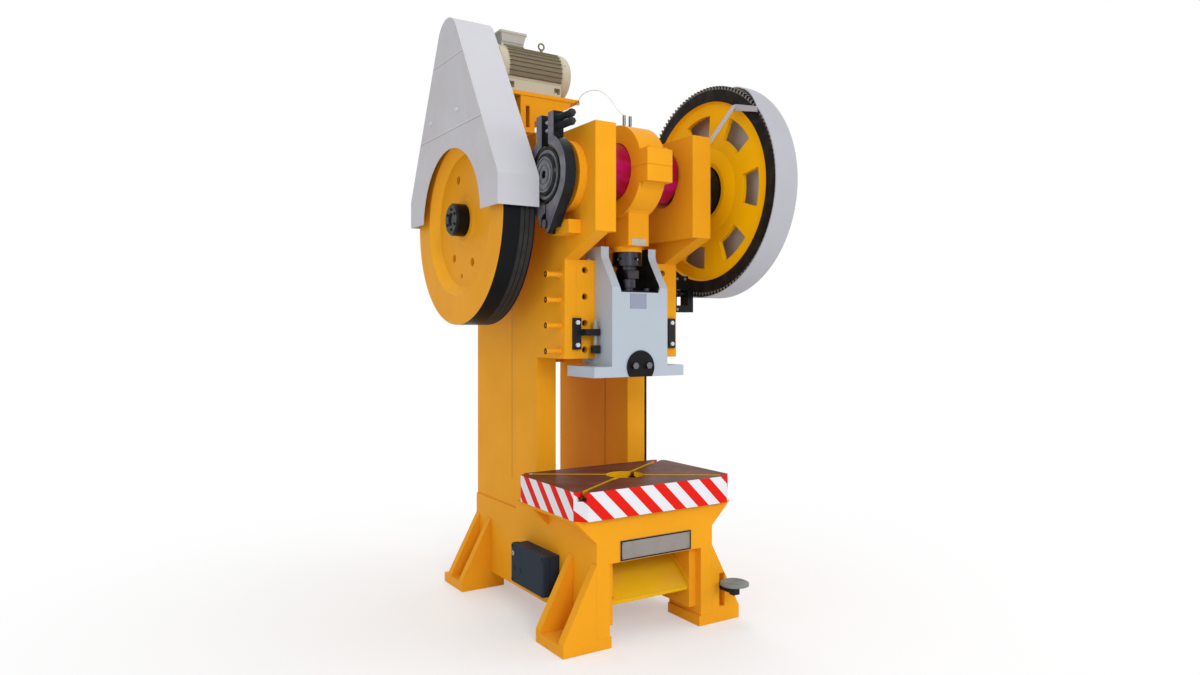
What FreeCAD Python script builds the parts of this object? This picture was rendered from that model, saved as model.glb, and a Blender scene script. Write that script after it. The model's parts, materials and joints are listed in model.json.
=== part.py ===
import FreeCAD, Part
import math
import os

# Mechanical stamping press: open-front C-frame press with a full-eccentric crankshaft,
# flywheel and belt drive on the left, geared clutch side on the right.
# Millimetres. X to the right seen from the front, Y to the back, Z up.
# The model is drawn with X = 0 on the machine centreline and Y = 0 at the crank axis,
# then moved so that the origin is the centre of the anchor bolt pattern on the floor.
# Each group below gives its own sizes first, then what follows from them and from the
# groups above it.

V = FreeCAD.Vector

# ---------------------------------------------------------------- driving dimensions
# running and seating clearances
shaft_gap = 0.05
soft_gap = 0.3
split_gap = 0.5

# bolster plate on the bed
bolster_length = 900.0
bolster_depth = 607.0
bolster_thick = 131.0
bolster_corner = 46.0
bolster_hole_r = 95.0
tslot_width = 24.0
tslot_head = 42.0
tslot_neck_depth = 22.0
tslot_head_depth = 18.0

# bed
bed_height = 596.0
bed_plate_thick = 25.0
bed_hole_r = 120.0
bed_lip_inset = 24.0
bolster_overhang = 32.0
panel_thick = 40.0
bed_half_width = bolster_length / 2
bed_plate_bottom = bed_height - bed_plate_thick
bolster_top = bed_height + bolster_thick

# side frames, front to back
frame_half_width = 336.0
plate_thick = 112.0
cheek_thick = 78.0
column_front = 324.0
column_back = 1064.0
plate_bottom = 88.0
guide_front = 39.0
head_front = -239.0
pedestal_front = column_front + 6.0
rear_slope_start = column_back - 264.0
plate_inner = frame_half_width - plate_thick
cheek_inner = frame_half_width - cheek_thick
bolster_front = column_front - bolster_depth
bolster_back = column_front
bolster_middle = (bolster_front + bolster_back) / 2
bed_front = bolster_front + bolster_overhang
panel_back = bed_front + panel_thick
leg_opening_half = frame_half_width - 71.0
leg_opening_top = bed_height - 213.0
leg_waist_top = bed_height - 112.0
rib_thick = 25.0
rib_y = guide_front + 156.0

# heights of the slide, the connecting rod and the head, from the bolster upwards
crank_throw = 50.0
throat_top = bolster_top + 582.0
guide_top = throat_top + 480.0
slide_bottom = throat_top - 87.0
ball_z = slide_bottom + 338.0
shank_bottom = ball_z + 299.0
eccentric_z = shank_bottom + 366.0
crank_z = eccentric_z - crank_throw
head_bottom = crank_z - 275.0
head_top = crank_z + 225.0
pedestal_top = head_top + 55.0
rear_slope_bottom = pedestal_top - 265.0
seam_y = column_back - 503.0
seam_depth = 8.0
seam_bottom = bed_height - 96.0
seam_top = guide_top + 61.0

# cross ties between the side frames
tie_thick = 40.0
head_tie_y = 230.0
head_tie_top = seam_top
rear_tie_top = rear_slope_bottom - 40.0
rear_tie_bottom = rear_tie_top - 900.0
low_tie_top = bed_plate_bottom - 11.0

# feet
foot_half_reach = frame_half_width + 175.0
foot_inset = 9.0
foot_length = 254.0
foot_thick = 50.0
foot_toe = 12.0
gusset_top = 390.0
gusset_thick = 44.0
anchor_half_span = frame_half_width + 88.0
anchor_hole_r = 22.0
rear_foot_back = column_back + 56.0
front_foot_front = bed_front
rear_foot_front = rear_foot_back - foot_length
anchor_front_y = front_foot_front + foot_length / 2
anchor_rear_y = rear_foot_front + foot_length / 2
origin_y = (anchor_front_y + anchor_rear_y) / 2

# scrap chute
chute_thick = 6.0
chute_lip = 16.0
chute_wall = 30.0
chute_low_y = panel_back + 11.0
chute_low_z = 190.0
chute_high_y = bolster_middle + 129.5
chute_high_z = leg_waist_top - 5.0

# crankshaft with its bearings
eccentric_r = 138.0
eccentric_half = plate_inner - 9.0
journal_r = 85.0
bush_wall = 20.0
left_boss_r = 170.0
right_boss_r = 195.0
left_boss = 40.0
right_boss = 16.0
brake_seat_r = 60.0
gear_seat_r = 80.0
bush_r = journal_r + bush_wall
left_boss_face = -frame_half_width - left_boss
right_boss_face = frame_half_width + right_boss

# band brake on the left end of the crankshaft
brake_gap = 31.0
brake_width = 54.0
drum_proud = 10.0
drum_r = 130.0
drum_disc_r = 98.0
lining_thick = 10.0
lining_split = 22.0
lining_inset = 6.0
shoe_r = 187.0
shoe_split = 8.0
brake_pin_drop = 230.0
brake_pin_r = 14.0
brake_lug_r = 45.0
anchor_front = -110.0
anchor_back = 34.0
ear_rise = 287.0
ear_thick = 52.0
ear_front_near = -23.0
ear_rear_near = 39.0
stud_r = 8.0
stud_front = -212.0
spring_wire_r = 4.0
spring_mean_r = 13.0
spring_curls = 7
spring_seat_gap = 0.15
washer_r = 19.0
washer_thick = 4.0
stud_nut = 16.0
brake_back = left_boss_face - brake_gap
brake_face = brake_back - brake_width
brake_middle = (brake_back + brake_face) / 2
drum_face = brake_face - drum_proud
shaft_left_end = drum_face + 16.0
lining_r = drum_r + soft_gap + lining_thick
brake_pin_z = crank_z - brake_pin_drop
ear_top = crank_z + ear_rise
stud_z_high = ear_top - 34.0
stud_z_low = ear_top - 72.0

# gears and clutch on the right end of the crankshaft
gear_module = 8.0
gear_teeth = 135
pinion_teeth = 24
pressure_angle = 20.0
gear_backlash = 0.8
gear_width = 100.0
gear_rim_thick = 62.0
gear_web = 24.0
gear_web_inset = 16.0
gear_hub_r = 160.0
gear_hub_root_r = 228.0
window_inner = 288.0
window_outer = 402.0
window_half_angle = 14.0
window_count = 7
window_turn = 3.4
hub_mouth_depth = 22.0
clutch_r = 132.0
clutch_gap = 6.0
clutch_length = 114.0
gear_pitch_r = gear_module * gear_teeth / 2
pinion_pitch_r = gear_module * pinion_teeth / 2
gear_tip_r = gear_pitch_r + gear_module
gear_root_r = gear_pitch_r - 1.25 * gear_module
gear_rim_r = gear_root_r - gear_rim_thick
clutch_left = right_boss_face + 24.0
gear_left = clutch_left + clutch_length
gear_right = gear_left + gear_width

# flywheel and countershaft, driven by belts from the motor
flywheel_drop = 157.0
flywheel_r = 544.0
flywheel_width = 169.0
flywheel_land_r = 392.0
flywheel_dish_r = 345.0
flywheel_dish = 45.0
flywheel_web = 46.0
flywheel_hub_r = 110.0
hub_cap_r = 84.0
hub_cap_proud = 35.0
lift_hole_r = 22.0
lift_hole_ring = 240.0
balance_hole_r = 12.0
balance_hole_ring = 290.0
counter_r = 50.0
counter_bush_wall = 15.0
counter_boss_r = 110.0
counter_boss = 30.0
belt_count = 3
belt_pitch = 25.0
belt_width = 20.0
belt_thick = 13.0
flywheel_z = crank_z - flywheel_drop
flywheel_y = math.sqrt((gear_pitch_r + pinion_pitch_r) ** 2 - flywheel_drop ** 2)
flywheel_back = drum_face - 5.0
flywheel_face = flywheel_back - flywheel_width
hub_face = flywheel_face + flywheel_dish - 10.0
hub_cap_end = flywheel_face - hub_cap_proud
counter_bush_r = counter_r + counter_bush_wall
belt_first = flywheel_back - 16.0 - belt_pitch * (belt_count - 0.5)
belt_groove = belt_width + 2 * soft_gap

# gear guard: a sheet pan round the gears, its front rim held by a bent strap
guard_sheet = 5.0
guard_tip_gap = 10.0
pinion_guard_gap = 46.0
guard_start_near = 40.0
guard_start_far = 81.0
strap_width = 26.0
strap_thick = 6.0
strap_foot_inset = 14.0
strap_foot_drop = 30.0
strap_bend_y = head_front - 42.5
strap_bend_z = crank_z + 399.5
gear_guard_r = gear_tip_r + guard_tip_gap
gear_guard_left = gear_left - 20.0
gear_guard_disc = gear_right + 16.0
pinion_guard_r = pinion_pitch_r + gear_module + pinion_guard_gap
shaft_right_end = gear_guard_disc - 2.0

# motor on its bracket, behind and above the flywheel
motor_height = 132.0
motor_r = 128.0
motor_length = 356.0
cowl_length = 66.0
motor_fins = 22
motor_fin_height = 9.0
fan_cowl_r = 130.0
fan_cowl_round = 42.0
fan_cowl_wall = 3.0
motor_foot_half = 116.0
motor_foot_thick = 16.0
motor_bolt_y = 96.0
bearing_wall = 24.0
motor_shaft_r = 19.0
pulley_r = 105.0
motor_plate_thick = 20.0
motor_plate_right = 12.0
terminal_height = 68.0
terminal_width = 130.0
terminal_inset = 13.0
terminal_length = 159.0
lid_thick = 12.0
motor_y = flywheel_y + 3.67
motor_plate_top = pedestal_top + 249.0
motor_plate_bottom = motor_plate_top - motor_plate_thick
motor_plate_left = drum_face - 3.0
motor_plate_front = motor_y - 130.0
motor_plate_back = motor_y + 170.0
motor_z = motor_plate_top + motor_height
motor_left = motor_plate_left + 34.0
motor_body_right = motor_left + motor_length
motor_end = motor_body_right + cowl_length
terminal_left = motor_left + terminal_inset
terminal_right = terminal_left + terminal_length
terminal_bottom = motor_z + motor_r
terminal_top = terminal_bottom + terminal_height
bracket_leg_left = -frame_half_width - 4.0
bracket_leg_width = 84.0
bracket_leg_depth = 64.0
bracket_leg_bottom = pedestal_top + 37.0
belt_slot_half = 11.0
belt_slot_bottom = bracket_leg_bottom + 26.0
belt_slot_top = motor_plate_bottom - 52.0

# belt guard
belt_guard_sheet = 4.0
belt_guard_top_r = 132.0
guard_arch_r = 380.0
belt_guard_face = hub_cap_end - 10.0
belt_guard_inner = drum_face - 3.0
belt_guard_front = flywheel_y - flywheel_r - 34.33
belt_guard_back = flywheel_y + flywheel_r + 21.67
belt_guard_bottom = flywheel_z + 10.0
belt_guard_bend = flywheel_z + 156.0
belt_guard_top_y = motor_y + 25.0
belt_guard_top_z = motor_z + 94.0
guard_arch_y = flywheel_y - 6.33
guard_arch_z = flywheel_z - 18.0
guard_bolt_z = flywheel_z + flywheel_r - 2.0
guard_bolts_y = (guard_arch_y - 105.0, guard_arch_y + 250.0)

# connecting rod (pitman) with its adjusting screw
pitman_half = 73.0
pitman_bore_r = eccentric_r + 12.0
pitman_lip_r = eccentric_r + 3.0
pitman_r = pitman_bore_r + 77.0
pitman_lip = 10.0
flange_reach = pitman_r + 48.0
flange_half_height = 78.0
shank_half = 60.0
shank_front = -100.0
shank_back = 80.0
shank_knee = eccentric_z - 210.0
setscrew_r = 6.0
collar_r = 74.0
collar_thick = 28.0
nut_r = 75.0
nut_thick = 68.0
screw_r = 52.0
neck_r = 38.0
ball_r = 55.0
cup_r = 8.0
cup_height = 60.0
cup_x = 18.0
collar_bottom = shank_bottom - collar_thick
screw_top = shank_bottom + 90.0

# slide
slide_half = 164.0
slide_front = -115.0
slide_back = 136.0
flange_half = 264.0
flange_thick = 52.0
slide_wall = 45.0
cavity_half = 118.0
cavity_back = slide_back - 30.0
horn_front = -15.0
horn_round = 60.0
tongue = 20.0
tongue_front = slide_back - 56.0
tongue_back = slide_back - 16.0
retainer_thick = 30.0
tool_shank_r = 30.0
tool_shank_depth = 80.0
arch_r = 80.0
arch_rise = 47.0
clamp_proud = 6.0
clamp_split = 1.0
clamp_bolt_x = 40.0
clamp_bolt_rise = 54.0
slide_travel = 2.0 * crank_throw
cavity_front = slide_front + slide_wall
cavity_floor = slide_bottom + 228.0
window_sill = slide_bottom + 409.0
cheek_break = slide_bottom + 433.0
horn_break = slide_bottom + 583.0
horn_top = slide_bottom + 633.0
back_wall_top = slide_bottom + 478.0
tongue_top = slide_bottom + 578.0
tongue_bottom = slide_bottom + 68.0
retainer_bottom = ball_z + 51.0
retainer_top = retainer_bottom + retainer_thick

# gibs with their screws and adjusters
gib_width = 106.0
gib_back = 200.0
gib_hole_left_x = 222.0
gib_hole_right_x = 248.0
gib_hole_r = 16.0
gib_hole_depth = 40.0
gib_screw_r = 13.0
gib_count = 4
adjuster_y = 82.0
adjuster_r = 12.0
adjuster_reach = 81.0
adjuster_nut = 14.0
adjuster_head = 16.0
gib_outer = slide_half + gib_width

# knock-out stops on the gibs
stop_thick = 14.0
stop_half = 22.0
stop_left_x = -272.0
stop_right_x = 298.0
stop_bottom = throat_top + 45.0
stop_top = throat_top + 198.0
stop_arm_bottom = throat_top + 112.0
stop_arm_top = throat_top + 144.0
stop_screw_x = -slide_half - 25.0
stop_screw_y = guide_front - 44.0
stop_screw_r = 8.0
stop_foot_half = 17.0
bolt_across = 20.0
bolt_head = 9.0

# control box on the left side frame
control_front = 83.0
control_length = 346.0
control_bottom = 160.0
control_height = 202.0
control_depth = 93.0
control_lid = 34.0

# blank plate on the front panel
name_left = -209.0
name_width = 410.0
name_bottom = leg_opening_top + 4.0
name_height = 94.0

# pedal lever
pedal_z = 212.0
pedal_dish_r = 70.5
pedal_dish_depth = 12.0
pedal_bar_half = 7.0
pedal_bar_height = 32.0
pedal_drop = 54.0
pedal_pivot_y = 600.0
pedal_pivot_z = 176.0
pedal_pin_r = 12.0
pedal_slot_width = 34.0
pedal_slot_bottom = 75.0
pedal_slot_top = 239.0
pedal_slot_x = frame_half_width + 64.0
pedal_y = bed_front - 93.0

# pull rod, rocker and clutch plunger
link_pin_r = 7.0
link_slot_play = 0.6
link_slot_half = 9.5
pull_rod_r = 8.0
pull_rod_y = 376.0
rocker_thick = 12.0
rocker_height = 34.0
rocker_pin_r = 10.0
rocker_pivot_y = 215.0
rocker_front_y = 95.0
plunger_r = 9.0
trip_guide_half = 17.0
pull_rod_x = frame_half_width + 42.0
rocker_left = pull_rod_x + 9.0
rocker_z = throat_top + 331.0
plunger_x = frame_half_width + 104.0
plunger_top = rocker_z + 98.0
trip_front = rocker_front_y - 47.0
trip_back = rocker_front_y + 17.0
trip_bottom = rocker_z - 99.0
trip_top = rocker_z + 91.0
trip_block_bottom = rocker_z + 22.0
trip_sill_top = rocker_z - 63.0
trip_guide_top = rocker_z + 38.0

# oil hose from the fitting on the motor bracket to the oil cup: points of its centre line,
# Y counted from the front edge of the motor plate and Z from its top face
hose_r = 3.0
hose_route = (
    (2.0, -17.0, -6.5),
    (3.0, -31.0, 7.0),
    (4.0, -52.0, 17.0),
    (4.0, -88.0, 22.3),
    (3.5, -138.0, 20.0),
    (2.0, -190.0, 9.5),
    (0.0, -242.0, -8.5),
    (-3.0, -291.0, -34.0),
    (-6.0, -335.0, -64.0),
    (-9.5, -374.0, -98.0),
    (-12.5, -409.5, -133.5),
    (-16.0, -446.0, -167.5),
    (-18.0, -489.0, -188.8),
)
hose_points = [(x, motor_plate_front + y, motor_plate_top + z) for x, y, z in hose_route]


# ---------------------------------------------------------------- helpers
def evenly(first, last, count):
    return [first + (last - first) * k / (count - 1) for k in range(count)]


gib_levels = evenly(throat_top + 43.0, guide_top - 49.0, gib_count)
adjuster_levels = evenly(throat_top + 38.0, guide_top - 72.0, gib_count)


def box(x0, x1, y0, y1, z0, z1):
    return Part.makeBox(x1 - x0, y1 - y0, z1 - z0, V(x0, y0, z0))


def rod_x(y, z, r, x0, x1):
    return Part.makeCylinder(r, x1 - x0, V(x0, y, z), V(1, 0, 0))


def rod_y(x, z, r, y0, y1):
    return Part.makeCylinder(r, y1 - y0, V(x, y0, z), V(0, 1, 0))


def rod_z(x, y, r, z0, z1):
    return Part.makeCylinder(r, z1 - z0, V(x, y, z0), V(0, 0, 1))


def tube_x(y, z, r_out, r_in, x0, x1):
    return rod_x(y, z, r_out, x0, x1).cut(rod_x(y, z, r_in, x0 - 1, x1 + 1))


def prism(points, direction):
    wire = Part.makePolygon(points + [points[0]])
    return Part.Face(wire).extrude(direction)


def plate_yz(points, x0, x1):
    return prism([V(x0, y, z) for y, z in points], V(x1 - x0, 0, 0))


def plate_xz(points, y0, y1):
    return prism([V(x, y0, z) for x, z in points], V(0, y1 - y0, 0))


def plate_xy(points, z0, z1):
    return prism([V(x, y, z0) for x, y in points], V(0, 0, z1 - z0))


def turned_x(profile, y, z):
    """Solid of revolution about an axis along X; profile holds (x, radius) points."""
    points = [V(x, y, z + r) for x, r in profile]
    face = Part.Face(Part.makePolygon(points + [points[0]]))
    return face.revolve(V(0, y, z), V(1, 0, 0), 360)


def hexagon(centre, axis, across, length):
    """Hexagonal prism from centre along a main axis."""
    direction = V(*axis)
    rotation = FreeCAD.Rotation(V(0, 0, 1), direction)
    r = across / math.sqrt(3)
    points = []
    for k in range(6):
        angle = math.radians(60 * k)
        points.append(centre + rotation.multVec(V(r * math.cos(angle), r * math.sin(angle), 0)))
    return prism(points, direction * length)


def mirrored(shape):
    return shape.mirror(V(0, 0, 0), V(1, 0, 0))


def group(shapes):
    return Part.makeCompound(shapes)


def join(shapes):
    return shapes[0].fuse(shapes[1:]).removeSplitter()


def save(node, shape):
    placed = shape.copy()
    placed.translate(V(0, -origin_y, 0))
    if not placed.isValid():
        print("not valid:", node)
    placed.exportStep("parts/" + node + ".step")


# ---------------------------------------------------------------- frame
def side_plate():
    """Right-hand cast side frame with its bearing bosses; the left one is its mirror."""
    profile = [
        (panel_back, plate_bottom),
        (column_back, plate_bottom),
        (column_back, rear_slope_bottom),
        (rear_slope_start, pedestal_top),
        (pedestal_front, pedestal_top),
        (pedestal_front, head_top),
        (head_front, head_top),
        (head_front, head_bottom),
        (guide_front, guide_top),
        (guide_front, throat_top),
        (column_front, throat_top),
        (column_front, bed_plate_bottom),
        (panel_back, bed_plate_bottom),
    ]
    body = plate_yz(profile, plate_inner, frame_half_width)
    outside = frame_half_width + counter_boss
    counter_hub = rod_x(flywheel_y, flywheel_z, counter_boss_r, frame_half_width, outside)
    rib = plate_xz([
        (frame_half_width, leg_waist_top),
        (frame_half_width, bed_plate_bottom),
        (bed_half_width - bed_lip_inset, bed_plate_bottom),
    ], rib_y, rib_y + rib_thick)
    body = join([body, counter_hub, rib])
    gib_seat = box(plate_inner - 1, gib_outer, guide_front - 1, gib_back, throat_top - 1, guide_top)
    cheek = box(plate_inner - 1, cheek_inner, head_front - 1, gib_back, guide_top, head_bottom)
    seam = box(
        frame_half_width - seam_depth, frame_half_width + 1,
        seam_y, column_back + 1, seam_bottom, seam_top,
    )
    counter_hole = rod_x(flywheel_y, flywheel_z, counter_bush_r, plate_inner - 1, outside + 1)
    return body.cut([gib_seat, cheek, seam, counter_hole])


def side_frame(right):
    """Adds the crank bearing boss, which is longer and slimmer on the brake side."""
    reach = right_boss if right else left_boss
    boss_r = right_boss_r if right else left_boss_r
    boss = rod_x(0, crank_z, boss_r, frame_half_width, frame_half_width + reach)
    bore = rod_x(0, crank_z, bush_r, plate_inner - 1, frame_half_width + reach + 1)
    shape = join([side_plate(), boss]).cut(bore)
    if right:
        pin_hole = rod_x(rocker_pivot_y, rocker_z, rocker_pin_r, frame_half_width - 30, frame_half_width + 1)
        return shape.cut(pin_hole)
    anchor = box(
        frame_half_width, -brake_back - 6, anchor_front, anchor_back,
        brake_pin_z - 47, brake_pin_z + 17,
    )
    anchor = anchor.cut(rod_x(0, brake_pin_z, brake_pin_r, frame_half_width - 1, -brake_back))
    return mirrored(join([shape, anchor]))


def front_panel():
    half = leg_opening_half
    outline = [
        (-bed_half_width, bed_height),
        (bed_half_width, bed_height),
        (bed_half_width - bed_lip_inset, bed_plate_bottom),
        (frame_half_width, leg_waist_top),
        (frame_half_width, foot_thick),
        (half, foot_thick),
        (half, leg_opening_top),
        (-half, leg_opening_top),
        (-half, foot_thick),
        (-frame_half_width, foot_thick),
        (-frame_half_width, leg_waist_top),
        (-bed_half_width + bed_lip_inset, bed_plate_bottom),
    ]
    return plate_xz(outline, bed_front, panel_back)


def bed_plate():
    lip = bed_half_width - bed_lip_inset
    section = [
        (-bed_half_width, bed_height),
        (bed_half_width, bed_height),
        (lip, bed_plate_bottom),
        (-lip, bed_plate_bottom),
    ]
    plate = plate_xz(section, panel_back, column_front)
    return plate.cut(rod_z(0, bolster_middle, bed_hole_r, bed_plate_bottom - 1, bed_height + 1))


def foot(front, right):
    """Right-hand foot: base plate, leg block and two gussets round the anchor bolt."""
    y0 = front_foot_front if front else rear_foot_front
    y1 = y0 + foot_length
    inner = leg_opening_half - foot_inset
    base = box(inner, foot_half_reach, y0, y1, 0, foot_thick)
    block_front = panel_back if front else y0
    block_back = y1 if front else column_back
    block = box(leg_opening_half, frame_half_width, block_front, block_back, foot_thick, plate_bottom)
    slope = [
        (frame_half_width, gusset_top),
        (frame_half_width, foot_thick),
        (foot_half_reach, foot_thick),
        (foot_half_reach, foot_thick + foot_toe),
    ]
    rear_gusset_back = y1 if front else column_back
    gussets = [
        plate_xz(slope, y0, y0 + gusset_thick),
        plate_xz(slope, rear_gusset_back - gusset_thick, rear_gusset_back),
    ]
    shape = join([base, block] + gussets)
    cuts = [rod_z(anchor_half_span, (y0 + y1) / 2, anchor_hole_r, -1, foot_thick + 1)]
    if front and right:
        slot_half = pedal_slot_width / 2
        cuts.append(box(
            pedal_slot_x - slot_half, pedal_slot_x + slot_half,
            y0 - 1, y1 + 1, pedal_slot_bottom, pedal_slot_top,
        ))
    shape = shape.cut(cuts)
    return shape if right else mirrored(shape)


def feet():
    return group([foot(front, right) for front in (True, False) for right in (True, False)])


def frame_ties():
    """Cross plates between the side frames: behind the slide, high and low at the back."""
    half = plate_inner
    return group([
        box(-half, half, head_tie_y, head_tie_y + tie_thick, throat_top, head_tie_top),
        box(-half, half, column_back - tie_thick, column_back, rear_tie_bottom, rear_tie_top),
        box(-half, half, column_back - tie_thick, column_back, plate_bottom, low_tie_top),
    ])


def scrap_chute():
    """Folded sheet tray that slopes from under the bed hole to the front opening."""
    length = math.hypot(chute_high_y - chute_low_y, chute_high_z - chute_low_z)
    slope = math.degrees(math.atan2(chute_high_z - chute_low_z, chute_high_y - chute_low_y))
    half = plate_inner
    floor = box(-half, half, 0, length, 0, chute_thick)
    left = box(-half, -half + chute_thick, 0, length, 0, chute_wall)
    right = box(half - chute_thick, half, 0, length, 0, chute_wall)
    tray = join([floor, left, right])
    tray.rotate(V(0, 0, 0), V(1, 0, 0), slope)
    tray.translate(V(0, chute_low_y, chute_low_z))
    lip = box(-half, half, chute_low_y, chute_low_y + chute_thick, chute_low_z - chute_lip, chute_low_z + 3)
    return join([tray, lip])


# ---------------------------------------------------------------- bolster
def bolster_plate():
    back = bolster_back
    half = bolster_length / 2
    c = bolster_corner
    outline = [
        (-half, bolster_front + c), (-half + c, bolster_front),
        (half - c, bolster_front), (half, bolster_front + c),
        (half, back - c), (half - c, back),
        (-half + c, back), (-half, back - c),
    ]
    top = bolster_top
    plate = plate_xy(outline, bed_height, top)
    centre = V(0, bolster_middle, 0)
    cuts = [rod_z(0, centre.y, bolster_hole_r, bed_height - 1, top + 1)]
    corner_angle = math.degrees(math.atan2(bolster_depth, bolster_length))
    reach = math.hypot(bolster_length, bolster_depth) / 2
    neck_bottom = top - tslot_neck_depth
    for angle in (corner_angle, 180 - corner_angle, 180 + corner_angle, -corner_angle):
        neck = box(0, reach, -tslot_width / 2, tslot_width / 2, neck_bottom - 1, top + 1)
        head = box(0, reach, -tslot_head / 2, tslot_head / 2, neck_bottom - tslot_head_depth, neck_bottom)
        slot = neck.fuse(head)
        slot.rotate(V(0, 0, 0), V(0, 0, 1), angle)
        slot.translate(centre)
        cuts.append(slot)
    return plate.cut(cuts)


# ---------------------------------------------------------------- gibs
def gib(side, hole_x):
    """One guide block with the groove for the slide's tongue and its screw holes."""
    inner = slide_half + soft_gap
    block = box(inner, gib_outer, guide_front, gib_back, throat_top, guide_top)
    groove = box(
        inner - 1, inner + tongue, tongue_front - soft_gap, tongue_back + soft_gap,
        throat_top - 1, guide_top + 1,
    )
    holes = [rod_y(hole_x, z, gib_hole_r, guide_front - 1, guide_front + gib_hole_depth) for z in gib_levels]
    shape = block.cut([groove] + holes)
    return shape if side > 0 else mirrored(shape)


def gibs():
    return group([gib(-1, gib_hole_left_x), gib(1, gib_hole_right_x)])


def gib_screws():
    """Socket screws at the bottom of the gib holes."""
    screws = []
    seat = guide_front + gib_hole_depth
    for x in (-gib_hole_left_x, gib_hole_right_x):
        for z in gib_levels:
            screw = rod_y(x, z, gib_screw_r, seat - 16, seat)
            screws.append(screw.cut(hexagon(V(x, seat - 17, z), (0, 1, 0), 12.0, 9.0)))
    return group(screws)


def gib_adjusters():
    """Painted adjusting screws with locknuts on the outer face of the left side frame."""
    screws = []
    end = -frame_half_width - adjuster_reach
    for z in adjuster_levels:
        shank = rod_x(adjuster_y, z, adjuster_r, end, -frame_half_width)
        nut = hexagon(V(-frame_half_width, adjuster_y, z), (-1, 0, 0), adjuster_r * 2.6, adjuster_nut)
        head = rod_x(adjuster_y, z, adjuster_r * 1.25, end, end + adjuster_head)
        socket = hexagon(V(end - 1, adjuster_y, z), (1, 0, 0), adjuster_r, 10.0)
        screws.append(join([shank, nut, head]).cut(socket))
    return group(screws)


def knockout_brackets():
    """T-shaped stop arm on the left gib and the plain bar on the right one."""
    front = guide_front - stop_thick
    deep = stop_screw_y - stop_foot_half
    inner = stop_left_x + stop_half
    bar = box(stop_left_x - stop_half, inner, front, guide_front, stop_bottom, stop_top)
    arm = box(inner - 2, stop_screw_x - 7, deep, guide_front, stop_arm_bottom, stop_arm_top)
    end = box(
        stop_screw_x - stop_foot_half, stop_screw_x + stop_foot_half,
        deep, stop_screw_y + stop_foot_half, stop_arm_bottom, stop_arm_top,
    )
    hole = rod_z(stop_screw_x, stop_screw_y, stop_screw_r, stop_arm_bottom - 1, stop_arm_top + 1)
    left = join([bar, arm, end]).cut(hole)
    right = box(stop_right_x - stop_half, stop_right_x + stop_half, front, guide_front, stop_bottom, stop_top)
    return group([left, right])


def knockout_stop():
    """Stop screw through the left arm, with its locknut and square foot."""
    foot_top = stop_bottom + 20.0
    screw = rod_z(stop_screw_x, stop_screw_y, stop_screw_r, foot_top - 2, stop_top - 7)
    nut = hexagon(V(stop_screw_x, stop_screw_y, stop_arm_top), (0, 0, 1), 24.0, 12.0)
    foot = box(
        stop_screw_x - stop_foot_half, stop_screw_x + stop_foot_half,
        stop_screw_y - stop_foot_half, stop_screw_y + stop_foot_half, foot_top - 40, foot_top,
    )
    return join([screw, nut, foot])


def hex_bolt(seat, axis, across, height):
    return hexagon(V(*seat), axis, across, height)


def frame_bolts():
    """Hexagon heads on the stop brackets, the motor feet and the belt guard."""
    heads = []
    for x in (stop_left_x, stop_right_x):
        for z in (stop_bottom + 22, stop_top - 22):
            heads.append(hex_bolt((x, guide_front - stop_thick, z), (0, -1, 0), bolt_across, bolt_head))
    for x in (motor_left + 50, motor_body_right - 30):
        for side in (-1, 1):
            seat = (x, motor_y + side * motor_bolt_y, motor_plate_top + motor_foot_thick)
            heads.append(hex_bolt(seat, (0, 0, 1), bolt_across, bolt_head))
    for y in guard_bolts_y:
        heads.append(hex_bolt((belt_guard_face, y, guard_bolt_z), (-1, 0, 0), bolt_across, bolt_head))
    return group(heads)


# ---------------------------------------------------------------- slide
def slide_profile():
    """Side outline of the slide: sloping cheeks that round into the upright horns."""
    slope = V(0, horn_front - slide_front, horn_break - cheek_break).normalize()
    turn = math.acos(slope.z)
    cut = horn_round * math.tan(turn / 2)
    corner = V(0, horn_front, horn_break)
    enter = corner - slope * cut
    leave = corner + V(0, 0, cut)
    away = (leave + enter - corner * 2).normalize()
    middle = corner + away * (horn_round / math.cos(turn / 2) - horn_round)
    points = [
        V(0, slide_front, cheek_break), V(0, slide_front, slide_bottom),
        V(0, slide_back, slide_bottom), V(0, slide_back, horn_top), V(0, horn_front, horn_top),
    ]
    edges = [Part.LineSegment(a, b).toShape() for a, b in zip(points, points[1:])]
    edges += [
        Part.LineSegment(points[-1], leave).toShape(),
        Part.Arc(leave, middle, enter).toShape(),
        Part.LineSegment(enter, points[0]).toShape(),
    ]
    face = Part.Face(Part.Wire(edges))
    face.translate(V(-slide_half, 0, 0))
    return face


def shank_arch():
    """Round recess in the slide's front that takes the clamp of the tool shank."""
    return rod_y(0, slide_bottom + arch_rise, arch_r, slide_front - 1, -clamp_split)


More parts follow.
